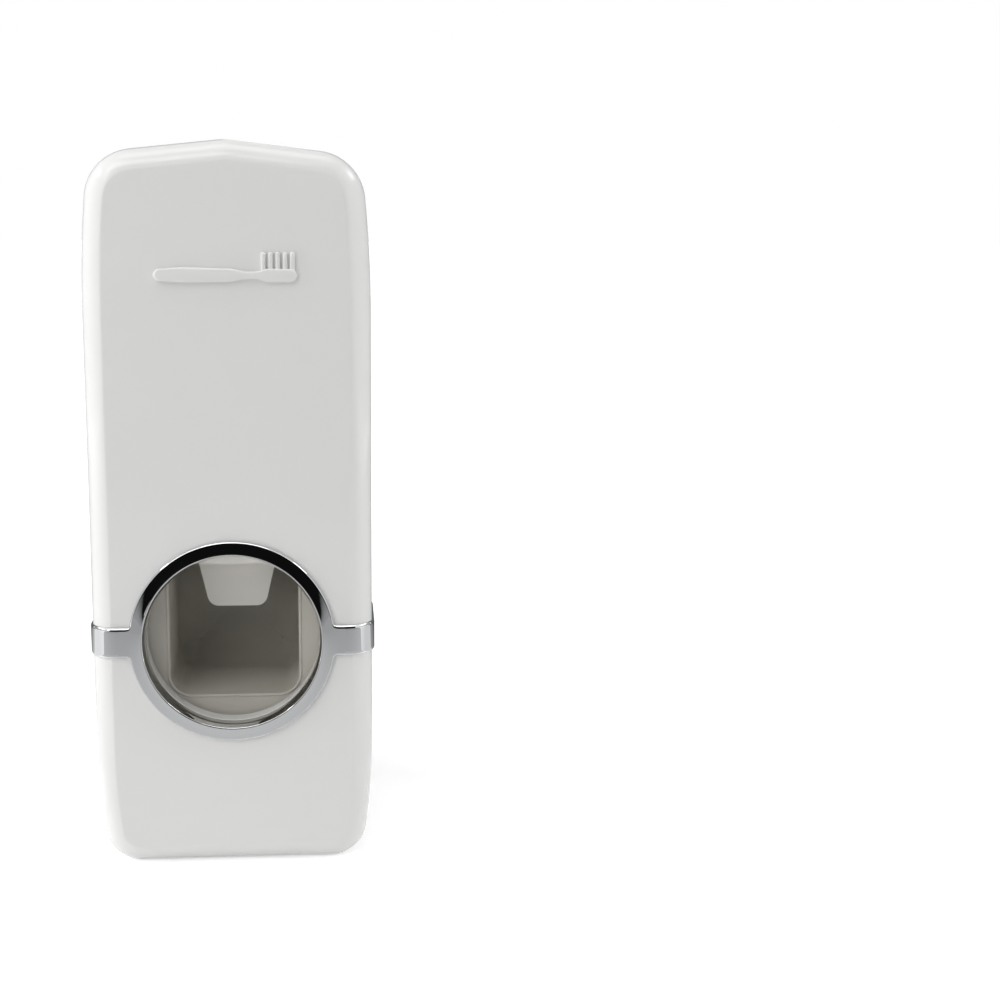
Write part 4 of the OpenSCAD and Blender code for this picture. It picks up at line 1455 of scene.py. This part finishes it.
@dataclass
class Studio:
    """The pale floor, the cards that the plating reflects, the lamps, world and camera.

    Attributes:
        lift: Height of the floor's cards over it.
        near_corner: The (x, y) corner of the near card by the foot.
        mid_corner: Where the near card meets the far card.
        far_corner: The far card's outer corner.
        panel: The upper corner of the dark panel in front, and hood that of the hood over it.
        inner_corner: Where the cards beside and behind the foot meet, and outer_corner the
            same away from it.
        wing_back: Y of the back of the cards behind the foot.
        wall_x: X of the cards at the sides, wall_y their ends and wall_top their height.
        edge_x: X of the edge cards by the object.
    """

    floor: float = -0.081
    floor_size: float = 3.0
    lift: float = 0.001
    world_level: float = 0.22
    near_corner: Pair = (0.10, -0.066)
    mid_corner: Pair = (0.45, -0.34)
    far_corner: Pair = (0.9, -1.0)
    panel: Place = (0.75, -0.85, 0.42)
    hood: Place = (0.40, -0.45, 0.50)
    inner_corner: Pair = (0.045, 0.03)
    outer_corner: Pair = (0.60, 0.03)
    wing_back: float = 0.35
    wall_x: float = 0.7
    wall_y: Pair = (-0.86, 0.30)
    wall_top: float = 0.45
    edge_x: float = 0.034
    lamps: tuple[Lamp, ...] = (
        Lamp("high", (-0.45, -0.85, 0.82), (0, 0, 0), (1.0, 0.8), 5.1),
        Lamp("front", (-0.62, -1.05, 0.03), (0, 0, -0.02), (0.7, 0.5), 1.45),
        Lamp("top", (0.0, -0.15, 1.0), (0, 0, 0), (0.9, 0.4), 2.0),
        Lamp("left", (-0.9, -0.08, 0.22), (0, -0.03, 0.02), (0.5, 0.9), 6.4),
        Lamp("right", (0.9, -0.06, 0.34), (0, -0.03, 0.03), (0.4, 0.9), 4.4))
    lens: float = 62.52
    sensor: float = 36.0
    clip: Pair = (0.01, 20.0)
    camera_place: Place = (0.023076, -0.439295, 0.077059)
    yaw: float = 0.09606
    pitch: float = 0.19296
    roll: float = 0.01137

    @staticmethod
    def card(name: str, corners: Sequence[Place], material: bpy.types.Material,
             hidden: bool = True) -> None:
        """Adds a flat stage card.

        Args:
            name: Name of the card.
            corners: Its four corners.
            material: Its material.
            hidden: Only the plating and the gloss show it.
        """
        mesh = bpy.data.meshes.new(name)
        mesh.from_pydata(corners, [], [(0, 1, 2, 3)])
        piece = bpy.data.objects.new(name, mesh)
        bpy.context.scene.collection.objects.link(piece)
        mesh.materials.append(material)
        if hidden:
            piece.visible_camera = piece.visible_diffuse = piece.visible_shadow = False

    def across(self, name: str, first: Place, last: Place, material: bpy.types.Material,
               hidden: bool = True) -> None:
        """Adds a card that is alike on both sides, from one right corner to the other."""
        corners = [(-first[0], *first[1:]), first, last, (-last[0], *last[1:])]
        self.card(name, corners, material, hidden)

    def floor_material(self) -> bpy.types.Material:
        """Makes the pale floor: plain, and near white to the eye and to the plating.

        Returns:
            The material.
        """
        made, graph = new_material("studio_floor")
        away = graph.add("VectorMath", set_operation="LENGTH", at_0=graph.place())
        level = graph.ramp(away.outputs["Value"], start=0.10, end=0.45, low=0.45,
                           high=0.85)
        shader = graph.add("BsdfPrincipled", Base_Color=(0.86, 0.86, 0.86, 1), Roughness=0.8,
                           Emission_Color=(1, 1, 1, 1),
                           Emission_Strength=graph.math("MULTIPLY", graph.seen(), level))
        graph.add("OutputMaterial", Surface=shader.outputs[0])
        return made

    def front_cards(self) -> None:
        """Adds the floor, and the cards in front of the object."""
        z, wide, lift = self.floor, self.floor_size, self.floor + self.lift
        self.across("floor", (wide, -wide, z), (wide, wide, z), self.floor_material(),
                    hidden=False)
        near = Shade("near_card", 0.62, 0.40, start=-0.10, end=-0.28).material()
        far = Shade("far_card", 0.34, 0.005, start=-0.36, end=-0.54).material()
        dark = Shade("dark_card", 0.005, 0.005).material()
        middle = (*self.mid_corner, lift)
        self.across("near_card", middle, (*self.near_corner, lift), near)
        self.across("far_card", (*self.far_corner, lift), middle, far)
        self.across("dark_panel", (*self.panel[:2], z), self.panel, dark)
        self.across("hood", self.panel, self.hood, dark)

    def side_cards(self) -> None:
        """Adds the cards beside and behind the object."""
        z, lift, top, (start, end) = self.floor, self.floor + self.lift, self.wall_top, self.wall_y
        outer = self.outer_corner[0]
        side = Shade("side_card", 0.80, 0.40, start=-0.45, end=0.10).material()
        edge = Shade("edge_card", 0.16, 0.16).material()
        for way, bright, plain, dim in ((-1, 1.05, 0.96, 0.66), (1, 0.95, 0.74, 0.40)):
            beside = Shade("beside_card", bright, plain, start=-0.15, end=-0.07).material()
            behind = Shade("behind_card", dim, 0.10, start=0.04, end=0.13).material()
            back = [(corner[0], self.wing_back) for corner in (self.outer_corner,
                                                               self.inner_corner)]
            for name, corners, material in (
                    ("beside_card", (self.near_corner, self.mid_corner, self.outer_corner,
                                     self.inner_corner), beside),
                    ("behind_card", (self.inner_corner, self.outer_corner, *back), behind)):
                self.card(name, [(way * x, y, lift) for x, y in corners], material)
            for name, ends, material in (
                    ("side_card", ((self.wall_x, start), (self.wall_x, end)), side),
                    ("edge_card", ((self.edge_x, end), (outer, end)), edge)):
                low, high = ([(way * x, y, height) for x, y in ends] for height in (z, top))
                self.card(name, [*low, *high[::-1]], material)

    def world(self) -> None:
        """Sets the even light of the room, which is white where it is seen or mirrored."""
        world = bpy.data.worlds.new("studio")
        bpy.context.scene.world = world
        world.use_nodes = True
        world.node_tree.nodes.clear()
        graph = Graph(world.node_tree)
        level = graph.math("ADD", graph.math("MULTIPLY", graph.seen(), 1 - self.world_level),
                           self.world_level)
        light = graph.add("Background", Color=(1, 1, 1, 1), Strength=level)
        graph.add("OutputWorld", Surface=light.outputs[0])

    def camera(self) -> None:
        """Sets the camera as fitted to the photograph."""
        fwd = Vector((math.sin(self.yaw) * math.cos(self.pitch),
                      math.cos(self.yaw) * math.cos(self.pitch), -math.sin(self.pitch)))
        right = Vector((math.cos(self.yaw), -math.sin(self.yaw), 0))
        up = right.cross(fwd)
        c, s = math.cos(self.roll), math.sin(self.roll)
        right, up = c * right + s * up, -s * right + c * up
        data = bpy.data.cameras.new("view")
        data.lens, data.sensor_width, data.sensor_fit = self.lens, self.sensor, "HORIZONTAL"
        data.clip_start, data.clip_end = self.clip
        eye = bpy.data.objects.new("view", data)
        eye.matrix_world = Matrix((right, up, -fwd)).transposed().to_4x4()
        eye.location = self.camera_place
        bpy.context.scene.collection.objects.link(eye)
        bpy.context.scene.camera = eye

    def build(self) -> None:
        """Makes the floor, the cards, the lamps, the world and the camera."""
        self.front_cards()
        self.side_cards()
        for lamp in self.lamps:
            lamp.build()
        self.world()
        self.camera()
        bpy.context.scene.view_settings.view_transform = "Standard"


def main() -> None:
    """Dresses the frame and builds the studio."""
    logging.basicConfig(level=logging.INFO, format="%(message)s")
    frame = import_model()
    FrontCover().build()
    Pictogram().build()
    ChromeTrim().build()
    Clips().build(frame)
    RearHousing().build()
    Interior().build(frame)
    ChamberMouldings().build()
    ReturnSpring().build()
    Slider().build(frame)
    Studio().build()
    bpy.context.view_layer.update()


if __name__ == "__main__":
    main()
